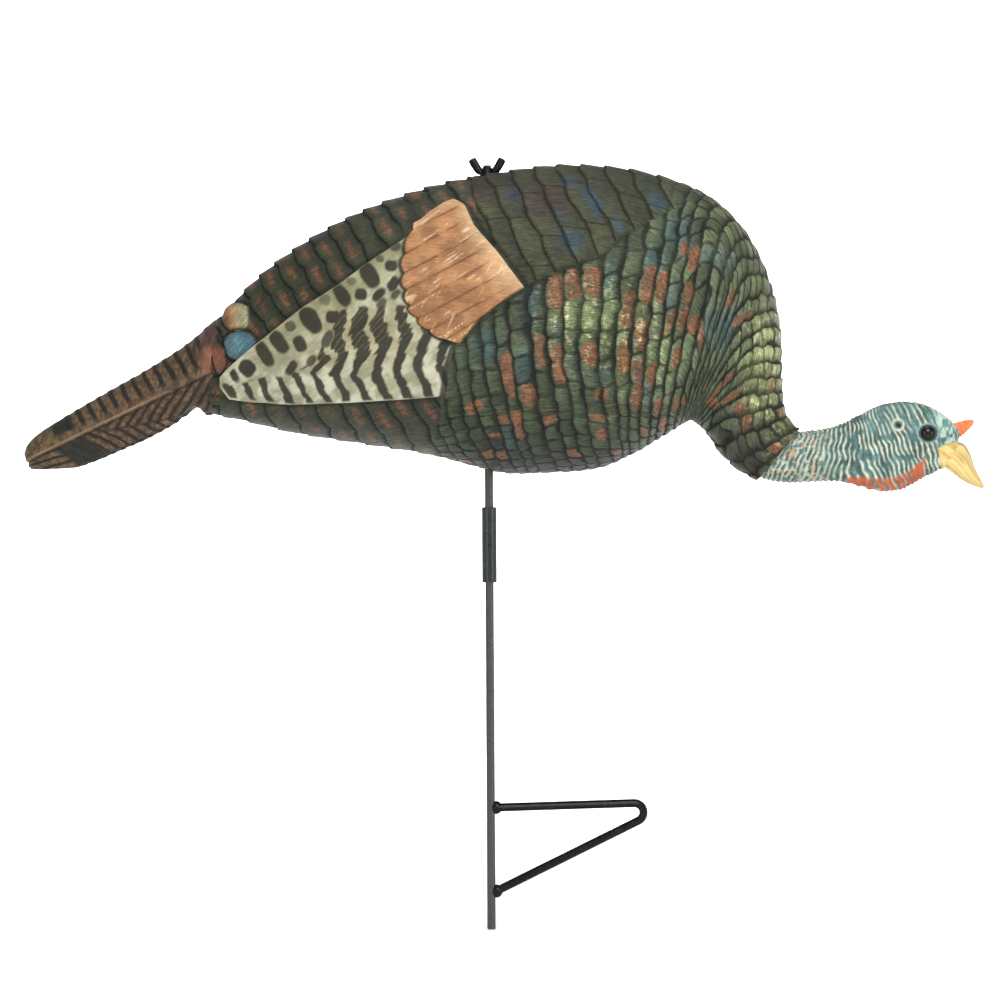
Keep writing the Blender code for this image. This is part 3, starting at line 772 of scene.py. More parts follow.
# soft blue on the breast: place and half-sizes
BLUE_SPOTS = (
    (36.4, 530.4, 8, 19), (-1.9, 496.4, 11, 12), (32.2, 477.0, 9, 14), (102.7, 548.0, 8, 17),
    (74.7, 479.4, 8, 12), (95.9, 470.9, 8, 8), (129.9, 470.9, 5, 12), (136.0, 459.0, 6, 12),
    (153.7, 534.7, 6, 12), (142.6, 568.7, 9, 9), (197.9, 568.7, 16, 9), (199.6, 512.0, 16, 14),
    (142.6, 623.9, 10, 9), (19.4, 415.7, 12, 9), (164.0, 590.0, 12, 14), (60.0, 510.0, 5, 8),
)
# the same on the scapulars
BLUE_ON_BACK = (
    (22, 625, 10, 8), (88, 619, 9, 16), (71, 585, 12, 12), (70, 634, 6, 6), (144, 620, 8, 10),
    (62, 606, 6, 8), (112, 596, 6, 10),
)


def blob(x, z, place, size):
    """A soft spot of 1 at a place, given with its half-sizes, all in mm."""
    return np.exp(-(((x - place[0]) / size[0]) ** 2 + ((z - place[1]) / size[1]) ** 2))


def painted_scallop(x, z, place, size):
    """A rounded feather with a dark rim: distance from its middle, its fill and its rim."""
    d = np.hypot((x - place[0]) / size[0], (z - place[1]) / size[1])
    return d, ramp(d, 1.0, 0.90), bell(d - 1.10, 0.10)


def body_paint(t, grid):
    """Height in mm and the painted values over the right-hand skin, by name."""
    x, z = seen_flat(*(grid[..., i] / MM for i in range(3)))
    down = lengths(grid, 1)
    top = lengths(grid[:, :1], 0)
    mid = lengths(grid[:, grid.shape[1] // 2][:, None], 0)
    back = np.broadcast_to((top[-1] - top) * 0.62 + (mid[-1] - mid) * 0.38, x.shape)
    share = down / down[:, -1:]
    place = np.broadcast_to(t[:, None], x.shape)
    low_belly = ramp(z, 425, 400) * ramp(x, 150, 120)
    neck = np.clip(ramp(x, 195, 245) * ramp(z, 560, 500) + ramp(place, 12.0, 14.0), 0, 1)

    # breast, neck and belly: narrow upright rows, bulging towards the tail
    nape = ramp(x, 160, 205) * ramp(z, 500, 550)
    drop = np.hypot(x - x[:, :1], z - z[:, :1])
    drop = drop + (down - drop) * ramp(place, 11.5, 9.0)
    tall = np.interp(x, (100, 150, 175), (23, 20, 17))
    tall = tall + (11.5 - tall) * np.maximum(neck, 0.9 * nape)
    tall = tall + (15 - tall) * ramp(z, 448, 436) * (1 - neck)
    wander = 4.4 * (fractal(back / 9, down / 13, 7) - 0.5)
    wave = 7.0 * (fractal(back / 34, down / 46, 5) - 0.5) + wander
    bulge = 17 * np.sin(np.clip((share - 0.18) / 0.72, 0, 1) * math.pi) * ramp(x, 190, 90)
    bulge = bulge - 24 * np.clip((share - 0.5) * 2, -0.4, 1) * ramp(x, 150, 50)
    lean_in = np.interp(place, (7.5, 10.5, 12.5, 15.0), (0.0, 0.7, 0.7, 0.30))
    lean_in = lean_in * 52 * np.tanh(drop / 52)
    v_a = back - lean_in - bulge + wave
    # the rows are stretched so that their dark lines fall on BREAST_ROWS at ROW_LEVEL
    level = np.argmin(np.abs(z - ROW_LEVEL), axis=1)[t < 11.5]
    middle = np.arange(len(v_a))[t < 11.5]
    order = np.argsort(x[middle, level])
    straight = (back - lean_in - bulge)[middle, level]
    lines = np.interp(BREAST_ROWS, x[middle, level][order], straight[order])[::-1]
    counts = np.arange(len(lines)) + 20.0
    start, end = np.arange(20, 0, -1), np.arange(1, 60)
    lines = np.concatenate([lines[0] - start * 12.0, lines, lines[-1] + end * 13.0])
    counts = np.concatenate([counts[0] - start, counts, counts[-1] + end])
    v_a = np.interp(v_a, lines, counts)
    u_a = (drop + 9.0 * (fractal(back / 22, down / 26, 9) - 0.5)) / tall
    along, across, _ = shingles(v_a, u_a, LAY_A)
    rib = np.clip(along, 0, 1) ** 0.7 * (1 - 0.25 * ramp(along, 0.8, 1.0))
    side = np.minimum(across, 1 - across) * tall
    lift_a = 2.5 * rib - (0.35 + 0.4 * np.maximum(neck, nape)) * bell(side, 1.2)
    lift_a = lift_a * (1 - 0.45 * low_belly) * (1 - 0.25 * neck)
    # crowded rows are shallower
    step = np.hypot(np.gradient(x, axis=0), np.gradient(z, axis=0))
    pitch = step / np.maximum(np.abs(np.gradient(v_a, axis=0)), 1e-6)
    lift_a = lift_a * np.clip(pitch / 9, 0.25, 1)

    # back, rump and the belly behind the stake: wide rounded scallops that lean forward
    wave_b = 8.0 * (fractal(back / 60, down / 60, 31) - 0.5) + 0.5 * wander
    v_b = (wave_b + 400 - x - 0.62 * z) / LAY_B["pitch"]
    u_b = (down + 5 * (noise(back / 40, down / 40, 35) - 0.5)) / 40
    along, across, _ = shingles(v_b, u_b, LAY_B)
    under = ramp(z, 462, 440)
    lift_b = 2.4 * np.clip(along, 0, 1) ** 1.2 * (1 - 0.45 * under)

    # scapulars: long smooth slanted feathers over the shoulder
    wave_c = 6.0 * (fractal(back / 50, down / 40, 51) - 0.5) + 0.6 * wander
    v_c = (wave_c + 600 - x - 0.48 * z) / LAY_C["pitch"]
    u_c = (down + 8 * (noise(back / 50, down / 50, 55) - 0.5)) / C_LENGTH
    along, across, _ = shingles(v_c, u_c, LAY_C)
    side = np.minimum(across, 1 - across) * C_LENGTH
    lift_c = 1.9 * np.clip(along, 0, 1) ** 1.1 - 0.5 * bell(side, 1.2)

    rough_edge = 9 * (fractal(x / 14, z / 14, 71) - 0.5)
    shoulder = line_side(x, z, SHOULDER_LINE)
    is_c = ramp(shoulder, -0.5, 0.7) * ramp(x + rough_edge, 176, 150)
    rear = np.interp(z, *zip(*BREAST_END))
    is_b = ramp(rear + rough_edge * 0.5 - x, -1.0, 1.0)
    is_b = np.where((z > 600) & (x > -60), ramp(rough_edge - 12 - x, -1, 1), is_b)
    ledge = 1.5 * np.exp(-np.clip(shoulder, 0, 99) / 14) * ramp(x, 150, 90)
    lift = lift_a * (1 - is_c) + (lift_c + ledge) * is_c
    lift = lift * (1 - is_b) + lift_b * is_b - 1.35

    # the smooth ground colour of each zone
    # the gold zone: iridescent gold paint, and a painted highlight on the breast's middle and the
    # neck's front
    gold_and_highlight = blob(x, z, (82, 516), (32, 34)) + 0.55 * blob(x, z, (130, 500), (40, 46))
    gold_and_highlight = gold_and_highlight + 0.95 * ramp(x, 200, 232) * ramp(z, 415, 450) * ramp(z, 545, 500)
    gold_and_highlight = np.clip(gold_and_highlight + 0.45 * ramp(x, 228, 246) * ramp(z, 630, 560), 0, 1)
    blue = rust = 0.0
    for px, pz, wide, high in BLUE_SPOTS:
        blue = np.maximum(blue, blob(x, z, (px, pz), (wide * 1.15, high * 1.15)))
    for px, pz, high, lean_deg in RUST_SPOTS:
        k = np.argmin((x - px) ** 2 + (z - pz) ** 2)
        row = np.floor(v_a.flat[k]) + 0.5
        du, dv = turned(x - px, z - pz, math.radians(-lean_deg))
        beside = (v_a + 0.05 - row) * 11.5 if abs(lean_deg) < 30 else du
        edge = 1.1 * (fractal(x / 4, z / 4, 66) - 0.5)
        d = (np.abs(beside) / 5.2) ** 3 + (np.abs(dv) / high) ** 3
        near = (np.abs(du) < 14) * (np.abs(dv) < 2 * high)
        rust = np.maximum(rust, ramp(d + edge, 1.5, 0.3) * near)
    varied = 0.7 + 0.6 * hashed(np.floor(v_a), np.zeros_like(v_a), 68)
    blue = np.clip(blue * varied + 0.35 * (fractal(x / 7, z / 12, 67) - 0.45), 0, 1)
    colour_a = coats(
        DARK,
        (OLIVE, 0.5 + 0.5 * blob(x, z, (95, 500), (120, 75))),
        (GOLD_AND_HIGHLIGHT, 0.85 * gold_and_highlight),
        (srgb(80, 102, 112), 0.85 * blue * (1 - 0.6 * gold_and_highlight)),
        (srgb(78, 82, 62), 0.6 * nape),
    )
    # painted shade: the breast darker towards the bottom, and darker still under the belly
    colour_a = colour_a * (0.62 + 0.38 * ramp(z, 388, 455))[..., None]
    colour_a = colour_a * (1 - 0.30 * low_belly)[..., None]
    colour_b = mix(srgb(62, 68, 50), srgb(74, 78, 58), fractal(x / 30, z / 30, 43))
    colour_c = mix(srgb(70, 76, 56), srgb(96, 98, 70), fractal(x / 34, z / 28, 63))
    painted_blue = 0.0
    for px, pz, wide, high in BLUE_ON_BACK:
        spot = blob(x + 0.45 * (z - pz), z, (px, pz), (wide, high))
        painted_blue = np.maximum(painted_blue, spot)
    painted_blue = ramp(painted_blue + 0.8 * (fractal(x / 8, z / 8, 64) - 0.5), 0.25, 0.75)
    colour_c = mix(colour_c, srgb(68, 96, 124), painted_blue * 0.90)
    plum = blob(x, z, (50, 620), (20, 15)) + blob(x, z, (-10, 628), (16, 8))
    colour_c = mix(colour_c, srgb(88, 62, 62), np.clip(1.3 * plum, 0, 1) * 0.85)
    # painted light and shade: the breast darker towards the tail and lighter towards the front, the
    # neck and nape lit brighter, the scapulars lighter towards the front and the rump darker
    # underneath
    colour_a = colour_a * mix((0.63, 0.72, 0.76), (0.88, 1.01, 1.12), ramp(x, 95, 142))
    neck_light = np.interp(z, (430, 480, 530, 600), (0.82, 1.55, 1.56, 1.50))[..., None]
    neck_light = neck_light * np.array((1.16, 1.02, 1.04))
    colour_a = mix(colour_a, colour_a * neck_light, np.maximum(neck, nape))
    colour_c = colour_c * np.interp(x, (30, 125, 155), (0.83, 0.90, 1.10))[..., None]
    colour_b = colour_b * (0.96 - 0.08 * under)[..., None]
    colour = mix(mix(colour_a * 0.54, colour_c * 0.40, is_c), colour_b * 0.40, is_b)
    # the scapulars a little darker towards the tail, painted shade too; the last factor only shifts
    # the hue
    colour = colour * (1 - 0.08 * is_c * ramp(x, 120, 90))[..., None] * (0.92, 0.97, 0.71)
    chance = 0.02 + 0.10 * low_belly + 0.04 * neck + 0.06 * ramp(z, 450, 430)
    zone = three(chance * (1 - 0.7 * nape), rust, gold_and_highlight)

    # painted shade along edges: under the shoulder line, round the wing and beside the copper; then
    # the tail root's scallops, each with a dark rim
    dark = 0.9 * bell(shoulder + 1.2, 1.7) * ramp(x, 150, 110) * (x > 26)
    over_wing = 0.79 * line_side(x, z, WING_TOP)
    under_wing = -line_side(x, z, WING_LOW)
    inside = ramp(over_wing, 3, -3) * ramp(under_wing, 3, -3)
    inside = inside * ramp(x, 20, 10) * ramp(rear - x, -3, 3)
    shade = ramp(over_wing, 5.5, 0.5) * (over_wing > -6)
    shade = shade * ramp(x, -30, -40) * ramp(x, -240, -226)
    shade = np.maximum(shade, ramp(under_wing, 4, 0.5) * (under_wing > -6) * ramp(x, -38, -44))
    copper = ramp(rear - x, -1, 4) * ramp(x, -80, -70) * ramp(z, 492, 505) * ramp(z, 625, 615)
    beside = bell(x - rear - 3.0, 2.2) * (z > 498) * (z < 622)
    dark = np.maximum(dark, np.clip(0.85 * shade + 0.85 * beside, 0, 1))
    plain = 0.0
    for spot, size, tone, right_tone, keep, is_plain in (
        ((-213, 521.5), (13, 12.5), (150, 108, 68), (158, 154, 118), ramp(x, -203, -205), True),
        ((-211, 497), (14.5, 13), (68, 94, 98), (62, 96, 106), 1.0, True),
        ((-231, 486), (8, 14), (100, 62, 46), (100, 62, 46), 1.0, False),
    ):
        reach, fill, rim = painted_scallop(x, z, spot, size)
        if is_plain:
            plain = np.maximum(plain, fill * keep)
        speck = (0.45 + 0.9 * fractal(x / 6, z / 6, 47)) * (1 - 0.35 * ramp(reach, 0.4, 1.0))
        shaded = mix(srgb(*tone), srgb(*right_tone), ramp(x, spot[0] - 9, spot[0] + 7))
        colour = mix(colour, shaded * speck[..., None], fill * keep)
        dark = np.maximum(dark * (1 - fill * keep), rim * keep)
        lift = lift * (1 - fill * keep) + (1.2 * fill - 0.8 * rim) * keep * fill
        zone[..., 0] = zone[..., 0] * (1 - fill)
    flat = np.clip(np.maximum(inside, copper), 0, 1)
    lift = lift * (1 - flat) - 0.6 * flat
    lift = lift + 0.30 * (fractal(x / 4, z / 4 + down / 9, 81) - 0.5)
    lift = lift - 0.9 * dark * (1 - flat)
    end = ramp(place, 0.0, 0.12) * ramp(place, 16.0, 15.93)
    lift = lift * (0.3 + 0.7 * end)
    return lift, {
        "paint": colour,
        "flow": three(down, back, place),
        "zone": zone,
        "rows_a": three(v_a, u_a, tall),
        "rows_b": three(v_b, u_b, is_b),
        "rows_c": three(v_c, u_c, is_c),
        "extra": three(dark, plain, flat),
    }


# ---------------------------------------------------------------- body


def side_name(name, side):
    return f"{name}_{'left' if side > 0 else 'right'}"


def mirrored(grid, side):
    """A grid made for the right side, moved to the side asked for."""
    out = grid.copy()
    if side > 0:
        out[..., 1] *= -1
    return out


def prism(name, outline, low, high):
    """An upright solid on a closed outline."""
    k = len(outline)
    verts = [(x, y, z) for z in (low, high) for x, y in outline]
    faces = [(i, (i + 1) % k, (i + 1) % k + k, i + k) for i in range(k)]
    faces += [tuple(range(k))[::-1], tuple(range(k, 2 * k))]
    return add_object(name, verts, faces, False)


def make_cutters():
    """The recess and the bore in the back, and the belly slot, as solids to cut away."""
    slot_radius, slot_length = 0.0046, 0.0244
    cutters = []
    for name, radius, low, high in (
        ("recess_cut", 0.0140, 0.6384, 0.70),
        ("bore_cut", 0.0046, 0.60, 0.66),
    ):
        mesh = bpy.data.meshes.new(name)
        shape = bmesh.new()
        bmesh.ops.create_cone(
            shape, cap_ends=True, segments=96, radius1=radius, radius2=radius,
            depth=high - low, matrix=Matrix.Translation((0, 0, (low + high) / 2)),
        )
        shape.to_mesh(mesh)
        shape.free()
        cutters.append(in_scene(name, mesh))
    end = [
        (slot_radius * math.cos(a), slot_radius * math.sin(a))
        for a in np.linspace(-math.pi / 2, math.pi / 2, 25)
    ]
    outline = end + [(-x - slot_length, -y) for x, y in end]
    cutters.append(prism("slot_cut", outline, 0.37, 0.42))
    for obj in cutters:
        # what a cut bares is plain dark foam
        store(obj, "paint", np.zeros((0, 3)), True, BARE)
        store(obj, "extra", np.zeros((0, 3)), False, 1.0)
    return cutters


def cut(obj, cutters):
    for cutter in cutters:
        modifier = obj.modifiers.new(cutter.name, "BOOLEAN")
        modifier.operation = "DIFFERENCE"
        modifier.solver = "EXACT"
        modifier.object = cutter
    bpy.context.view_layer.update()
    evaluated = obj.evaluated_get(bpy.context.evaluated_depsgraph_get())
    mesh = bpy.data.meshes.new_from_object(evaluated)
    obj.modifiers.clear()
    obj.data = mesh
    # the rim points that the cuts add come without paint, which their alpha gives away
    tone = np.zeros((len(mesh.vertices), 4))
    mesh.attributes["paint"].data.foreach_get("color", tone.ravel())
    bare = np.abs(tone[:, 3] - BARE) > 0.001
    tone[bare] = BARE
    mesh.attributes["paint"].data.foreach_set("color", tone.ravel())
    extra = np.zeros((len(tone), 3))
    mesh.attributes["extra"].data.foreach_get("vector", extra.ravel())
    extra[bare] = 1.0
    mesh.attributes["extra"].data.foreach_set("vector", extra.ravel())


def make_body(material, cutters):
    t, section, grid, inner = body_grid()
    middle = (section[:, None, 0:2] + section[:, None, 2:4]) / 2
    outward = grid - three(middle[..., 0], 0.0, middle[..., 1])
    normal = normals_of(grid, outward)
    lift, values = body_paint(t, grid)
    skin = grid + normal * (lift * MM)[..., None]
    skin[..., 1] = np.minimum(skin[..., 1], -SEAM_HALF_GAP)
    skin[:, (0, -1), 1] = -SEAM_HALF_GAP
    inner[..., 1] = np.minimum(inner[..., 1], -SEAM_HALF_GAP)
    for side in (-1, 1):
        name = side_name("feathered_body", side)
        obj = closed_sheet(name, mirrored(skin, side), mirrored(inner, side), STEP)
        for key, value in values.items():
            store(obj, key, value, key == "paint", BARE if key == "paint" else 0.0)
        obj.data.color_attributes.active_color_name = "paint"
        cut(obj, cutters)
        hand_over(obj, material, "decoy", side_name("body_half", side))


def body_side_point(x, z):
    """The right-hand skin's point at each (x, z), in mm, by bisection on the section's place."""
    low, high = np.zeros_like(x), np.full_like(x, len(BODY) - 1.0)

    def across(t):
        s = sections(BODY, t)
        mx, mz = (s[..., 0] + s[..., 2]) / 2, (s[..., 1] + s[..., 3]) / 2
        ux, uz = (s[..., 0] - s[..., 2]) / 2, (s[..., 1] - s[..., 3]) / 2
        px, pz = x * MM - mx, z * MM - mz
        size = ux**2 + uz**2
        return px * uz - pz * ux, (px * ux + pz * uz) / size, s[..., 4]

    for _ in range(30):
        guess = (low + high) / 2
        ahead = across(guess)[0] > 0
        low, high = np.where(ahead, guess, low), np.where(ahead, high, guess)
    _, along, half = across((low + high) / 2)
    cosine = np.clip(np.abs(along), 0, 0.9999) ** (1 / FULLNESS)
    return np.stack([x * MM, -half * np.sqrt(1 - cosine**2) ** FULLNESS, z * MM], -1)


def resampled(points, count):
    """Evenly spaced points along an open line, rounded at its corners."""
    p = np.array(points, float)
    fine, reach = 400, 8
    line = np.stack([evenly(p, p[:, i], fine) for i in range(2)], -1)
    padded = np.concatenate([np.repeat(line[:1], reach, 0), line, np.repeat(line[-1:], reach, 0)])
    line = sum(padded[i : i + fine] for i in range(2 * reach + 1)) / (2 * reach + 1)
    line[0], line[-1] = p[0], p[-1]
    return np.stack([evenly(line, line[:, i], count) for i in range(2)], -1)


def coons(low, high, start, end, n, m):
    """A grid of (x, z) points in mm that fills four lines. n runs along low, m along start."""
    low, high = resampled(low, n), resampled(high, n)
    start, end = resampled(start, m), resampled(end, m)
    p = np.linspace(0, 1, n)[:, None, None]
    q = np.linspace(0, 1, m)[None, :, None]
    ruled = low[:, None] * (1 - q) + high[:, None] * q + start[None] * (1 - p) + end[None] * p
    corners = (
        low[0] * (1 - p) * (1 - q) + low[-1] * p * (1 - q)
        + high[0] * (1 - p) * q + high[-1] * p * q
    )
    return ruled - corners


def make_panel(name, xz, lift, colour, flow, extra, material):
    """A raised patch that follows the body's side, on both sides of the bird."""
    x, z = xz[..., 0], xz[..., 1]
    base = body_side_point(x, z)
    for _ in range(2):
        shrink = 1 + base[..., 1] / MM / VIEW_DISTANCE
        base = body_side_point(VIEW_X + (x - VIEW_X) * shrink, VIEW_Z + (z - VIEW_Z) * shrink)
    normal = normals_of(base, np.array((0.0, -1.0, 0.0)))
    skin = base + normal * (lift * MM)[..., None]
    back = base[::STEP, ::STEP] - normal[::STEP, ::STEP] * 1.6 * MM
    for side in (-1, 1):
        obj = closed_sheet(side_name(name, side), mirrored(skin, side), mirrored(back, side), STEP)
        paint(obj, 0.94 * colour, flow, extra)
        hand_over(obj, material, "decoy")


def edge_distance(n, m, size_p, size_q):
    """Distances in mm from the four sides of a grid: start, end, low and high."""
    p = np.linspace(0, 1, n)[:, None] * np.ones(m)
    q = np.ones(n)[:, None] * np.linspace(0, 1, m)
    return p * size_p, (1 - p) * size_p, q * size_q, (1 - q) * size_q


COPPER_LEFT = (
    (500, -38), (512, -52), (528, -66), (549, -71), (569, -71), (586, -66), (599, -60), (612, -46),
    (619, -32),
)


def copper_rows(x, z):
    """The copper patch's rows: how far up across them, forward along them, and place in a row."""
    forward, up = turned(x + 20, z - 555, math.radians(27))
    return up, forward, part(up / 13.0 + 0.25 * (noise(forward / 40, up / 20, 101) - 0.5))


# painted spots along the wing's top: place, half-length, half-width, lean in degrees, depth
WING_SPOTS = (
    (-99.6, 555.9, 10.5, 6.5, -60, 1.0), (-123.0, 538.9, 9.5, 5.5, -55, 1.0),
    (-149.8, 518.5, 11.5, 7.2, -58, 1.0), (-176.5, 499.8, 10.0, 5.6, -55, 1.0),
    (-188.9, 490.0, 11.5, 5.2, -58, 1.0), (-203.7, 478.6, 7.0, 6.3, -45, 1.0),
    (-215.2, 472.6, 6.2, 3.0, -62, 1.0), (-220.7, 459.9, 8.0, 3.6, -42, 1.0),
    (-77.5, 579.7, 4.6, 3.6, 30, 0.9), (-91.1, 569.5, 3.2, 3.0, 0, 0.8),
    (-81.8, 563.6, 5.2, 4.6, 0, 1.0), (-114.9, 550.8, 3.6, 3.2, 0, 0.6),
    (-107.3, 539.8, 5.0, 4.8, 0, 1.0), (-137.9, 535.5, 4.8, 4.2, 0, 0.6),
    (-131.0, 521.0, 6.0, 5.6, 0, 1.0), (-166.8, 513.4, 4.5, 4.0, 20, 0.8),
    (-159.1, 498.5, 6.6, 5.0, -70, 1.0), (-166.2, 478.6, 6.3, 3.2, 55, 1.0),
    (-149.2, 484.5, 5.2, 3.0, 50, 0.9), (-135.4, 502.4, 7.5, 4.0, 60, 0.9),
    (-80.0, 548.4, 6.5, 4.0, 55, 1.0), (-92.1, 539.9, 6.5, 3.6, 50, 1.0),
    (-78.0, 540.0, 5.0, 3.0, 45, 0.9), (-90.0, 532.5, 5.0, 3.0, 45, 0.9),
)


def make_wing(material):
    n, m = 40 * STEP + 1, 22 * STEP + 1
    xz = coons(
        [(-221, 452.5), (-202, 449.5), (-166, 447), (-120, 448), (-78, 450), (-38, 452)],
        [
            (-222, 477), (-205, 492), (-180, 512), (-157, 530), (-127, 549), (-100, 569),
            (-74, 586), (-52, 600),
        ],
        [(-221, 452.5), (-229, 462), (-229, 470), (-222, 477)],
        [(-38, 452), (-33, 480), (-27, 500), (-38, 550), (-52, 600)],
        n, m,
    )
    x, z = xz[..., 0], xz[..., 1]
    start, end, low, high = edge_distance(n, m, 190, 120)
    top_gap = -0.79 * line_side(x, z, WING_TOP)
    f = part((z - 449 - 0.10 * (x + 229) + 4) / 27.0)
    # upright bars that zigzag from one row of feathers to the next
    wob = fractal(x / 9, z / 9, 92) - 0.5
    barb = (x - z) * 0.71 / 1.9
    dash = noise(barb, (x + z) / 26, 94) - 0.5
    first = 471.8 + np.interp(x, (-200, -150, -110, -40), (9, 3, 0, 8))
    second, third = 494.7 + 0.27 * (x + 102), 513.0 + 0.40 * (x + 100)
    q = np.where(z < first, (z - 449) / (first - 449), 1 + (z - first) / (second - first))
    q = np.where(z > second, 2 + (z - second) / (third - second), q)
    q = np.where(z > third, 3 + (z - third) / 18.0, q)
    shift = np.interp(q, (-1, 0, 1, 2, 3, 4, 5), (18.0, 12.7, 0.0, 9.5, 3.0, 8.0, 3.0))
    place = x - shift - 5.0 * wob + 4.2 * dash * ramp(q, 0.2, 1.9)
    count = (np.sqrt(225 + 0.64 * np.maximum(place + 232, -300)) - 15) / 0.32 + 0.18
    dense = blob(x, z, (-104, 506), (44, 26))
    g = np.abs(part(count) - 0.5) * 16.6
    half = 3.2 + 2.8 * dense + 1.2 * (fractal(x / 6, z / 8, 95) - 0.5)
    bars = ramp(g, half + 0.9, half - 0.9)
    gap = np.abs(part(barb / 2.1 + 0.9 * wob) - 0.5)
    bars = bars * (1 - 0.22 * ramp(gap, 0.16, 0.05) * ramp(q, 1.7, 2.3) * ramp(dash, -0.3, 0.1))
    limit = np.interp(
        x, (-230, -205, -188, -174, -157, -145, -136, -124, -100),
        (462, 467, 472, 471, 478, 487, 505, 527, 531),
    )
    bar = bars * ramp(z - limit, 1.5, -1.5)
    # along the top: slanted beans, each with a round spot beside it
    for cx, cz, long, wide, lean_deg, depth in WING_SPOTS:
        dx, dz = x - cx + 1.6 * wob, z - cz + 1.6 * (noise(x / 5, z / 5, 97) - 0.5)
        du, dv = turned(dx, dz, math.radians(lean_deg))
        d = (np.abs(du) / long / 1.06) ** 2.6 + (np.abs(dv) / wide / 1.06) ** 2.6
        d = d ** (1 / 2.6)
        bar = np.maximum(bar, depth * ramp((1 - d) * min(long, wide), -0.9, 0.9))
    foot = z - np.interp(x, (-221, -166, -38), (452.5, 447, 452))
    bar = bar * ramp(foot, 0.5, 3.0) * ramp(top_gap, 0.4, 2.4) * ramp(start, 2, 5)
    tone = fractal(x / 9, z / 9, 93)
    colour = coats(
        srgb(176, 175, 153),
        (srgb(140, 139, 112), ramp(tone, 0.3, 0.7)),
        (srgb(118, 119, 84), 0.70 * ramp(top_gap, 34, 8) * ramp(x, -215, -170)),
        (srgb(146, 134, 96), 0.50 * dense),
        (srgb(150, 140, 100), 0.45 * ramp(dash, 0.10, 0.30) * ramp(q, 0.8, 2.0)),
        (mix(srgb(34, 33, 23), srgb(46, 43, 30), tone), bar * 0.97),
    )
    vane = bell(np.minimum(f, 1 - f) * 27.0, 0.7) * (top_gap > 30)
    edge = np.interp(z, *zip(*COPPER_LEFT))
    _, _, share = copper_rows(edge, z)
    gap = edge - (1 - (2 * share - 1) ** 2) * 2.8 - x
    lift = 1.9 + 0.7 * f - 0.5 * vane + 0.2 * bar + 0.25 * dash
    fall = np.minimum(np.minimum(start, low), high)
    lift = lift * np.sqrt(np.clip(fall / 2.0, 0, 1)) - 1.0 * (1 - ramp(fall, 0, 1.5))
    lift = lift - 1.2 * ramp(end, 24, 8) - 0.8 * ramp(gap, 3.0, 0.0)
    # painted shade: a dark band where the copper's scalloped edge overlaps the wing, round the
    # panel's rim, and along its front where the breast overlaps it
    dark = np.maximum(ramp(gap, 3.4, 1.0) * (z > 497), 0.7 * (1 - ramp(fall, 0.0, 1.3)))
    front = np.interp(z, (450, 480, 497), (-41, -36.5, -31))
    dark = np.maximum(dark, ramp(x - front, -2.5, 0.0) * (z < 500))
    colour = mix(colour, CRACK_SHADE, 0.9 * dark)
    flow, extra = three(z - 0.6 * x, x * 0.8 + z * 0.6, 0.0), three(0.2 * bar, 0.0, 0.0)
    make_panel("barred_wing", xz, lift, colour, flow, extra, material)


def make_copper(material):
    n, m = 15 * STEP + 1, 22 * STEP + 1
    xz = coons(
        [(-40, 503), (-24, 497.5), (-8, 517), (9, 530.5), (31.5, 545.5)],
        [(-60, 599), (-48.6, 609), (-36, 617), (-29, 619.5), (-19, 616)],
        [(-40, 503), (-54, 512), (-66.5, 528), (-71, 549), (-71, 569), (-66, 586), (-60, 599)],
        [(31.5, 545.5), (22, 558.5), (9, 576), (-10.4, 597.6), (-19, 616)],
        n, m,
    )
    x, z = xz[..., 0], xz[..., 1]
    up, forward, f = copper_rows(x, z)
    start, end, low, high = edge_distance(n, m, 85, 115)
    xz[..., 0] -= (1 - (2 * f - 1) ** 2) * 3.0 * ramp(start, 14, 0)
    broken = ramp(noise(forward / 9, up / 4, 102), 0.25, 0.5)
    line = bell(np.minimum(f, 1 - f) * 13.0, 0.8) * ramp(end, 6, 24) * (0.35 + 0.65 * broken)
    flat_lines = noise((up - 0.12 * forward) / 1.3, forward / 24, 103)
    steep_lines = noise((x * 0.88 - z * 0.47) / 1.25, (x * 0.47 + z * 0.88) / 17, 108)
    lower = ramp(z - 0.3 * x, 585, 555)
    scratch = np.maximum(ramp(flat_lines, 0.74, 0.86), ramp(steep_lines, 0.70, 0.84) * lower)
    scratch = scratch * ramp(fractal(x / 14, z / 14, 107), 0.38, 0.58)
    scratch = scratch * (0.45 + 0.55 * noise(x / 1.7, z / 1.7, 109))
    pale = ramp(end + 8 * (noise(x / 9, z / 9, 104) - 0.5), 24, 0)
    pale = np.maximum(pale, 0.8 * ramp(high + 6 * noise(x / 9, z / 9, 105), 16, 2))
    tone = fractal(x / 12, z / 12, 106)
    colour = coats(
        srgb(160, 115, 76),
        (srgb(138, 96, 62), ramp(tone, 0.3, 0.7)),
        (srgb(192, 160, 120), 0.80 * pale),
        (srgb(232, 200, 162), 0.80 * scratch),
        (srgb(84, 46, 30), 0.75 * line),
        (srgb(222, 200, 166), 0.7 * ramp(end, 2.4, 1.2)),
    )
    fall = np.minimum(np.minimum(start, end), np.minimum(low, high))
    # painted shadow along the scalloped rear edge and the lower edge
    colour = colour * (1 - 0.65 * (1 - ramp(np.minimum(start, low), 0.0, 2.0)))[..., None]
    lift = 3.6 + 0.9 * (1 - (2 * f - 1) ** 2) - 0.5 * line + 0.25 * scratch
    lift = lift * np.sqrt(np.clip(fall / 2.4, 0, 1)) - 1.0 * (1 - ramp(fall, 0, 1.2))
    lift = lift - 1.4 * ramp(end, 12, 0)
    flow, extra = three(up + 0.6 * forward, forward, 0.0), three(0.3 * line, 0.5, 0.0)
    make_panel("copper_patch", xz, lift, colour, flow, extra, material)


# ---------------------------------------------------------------- tail


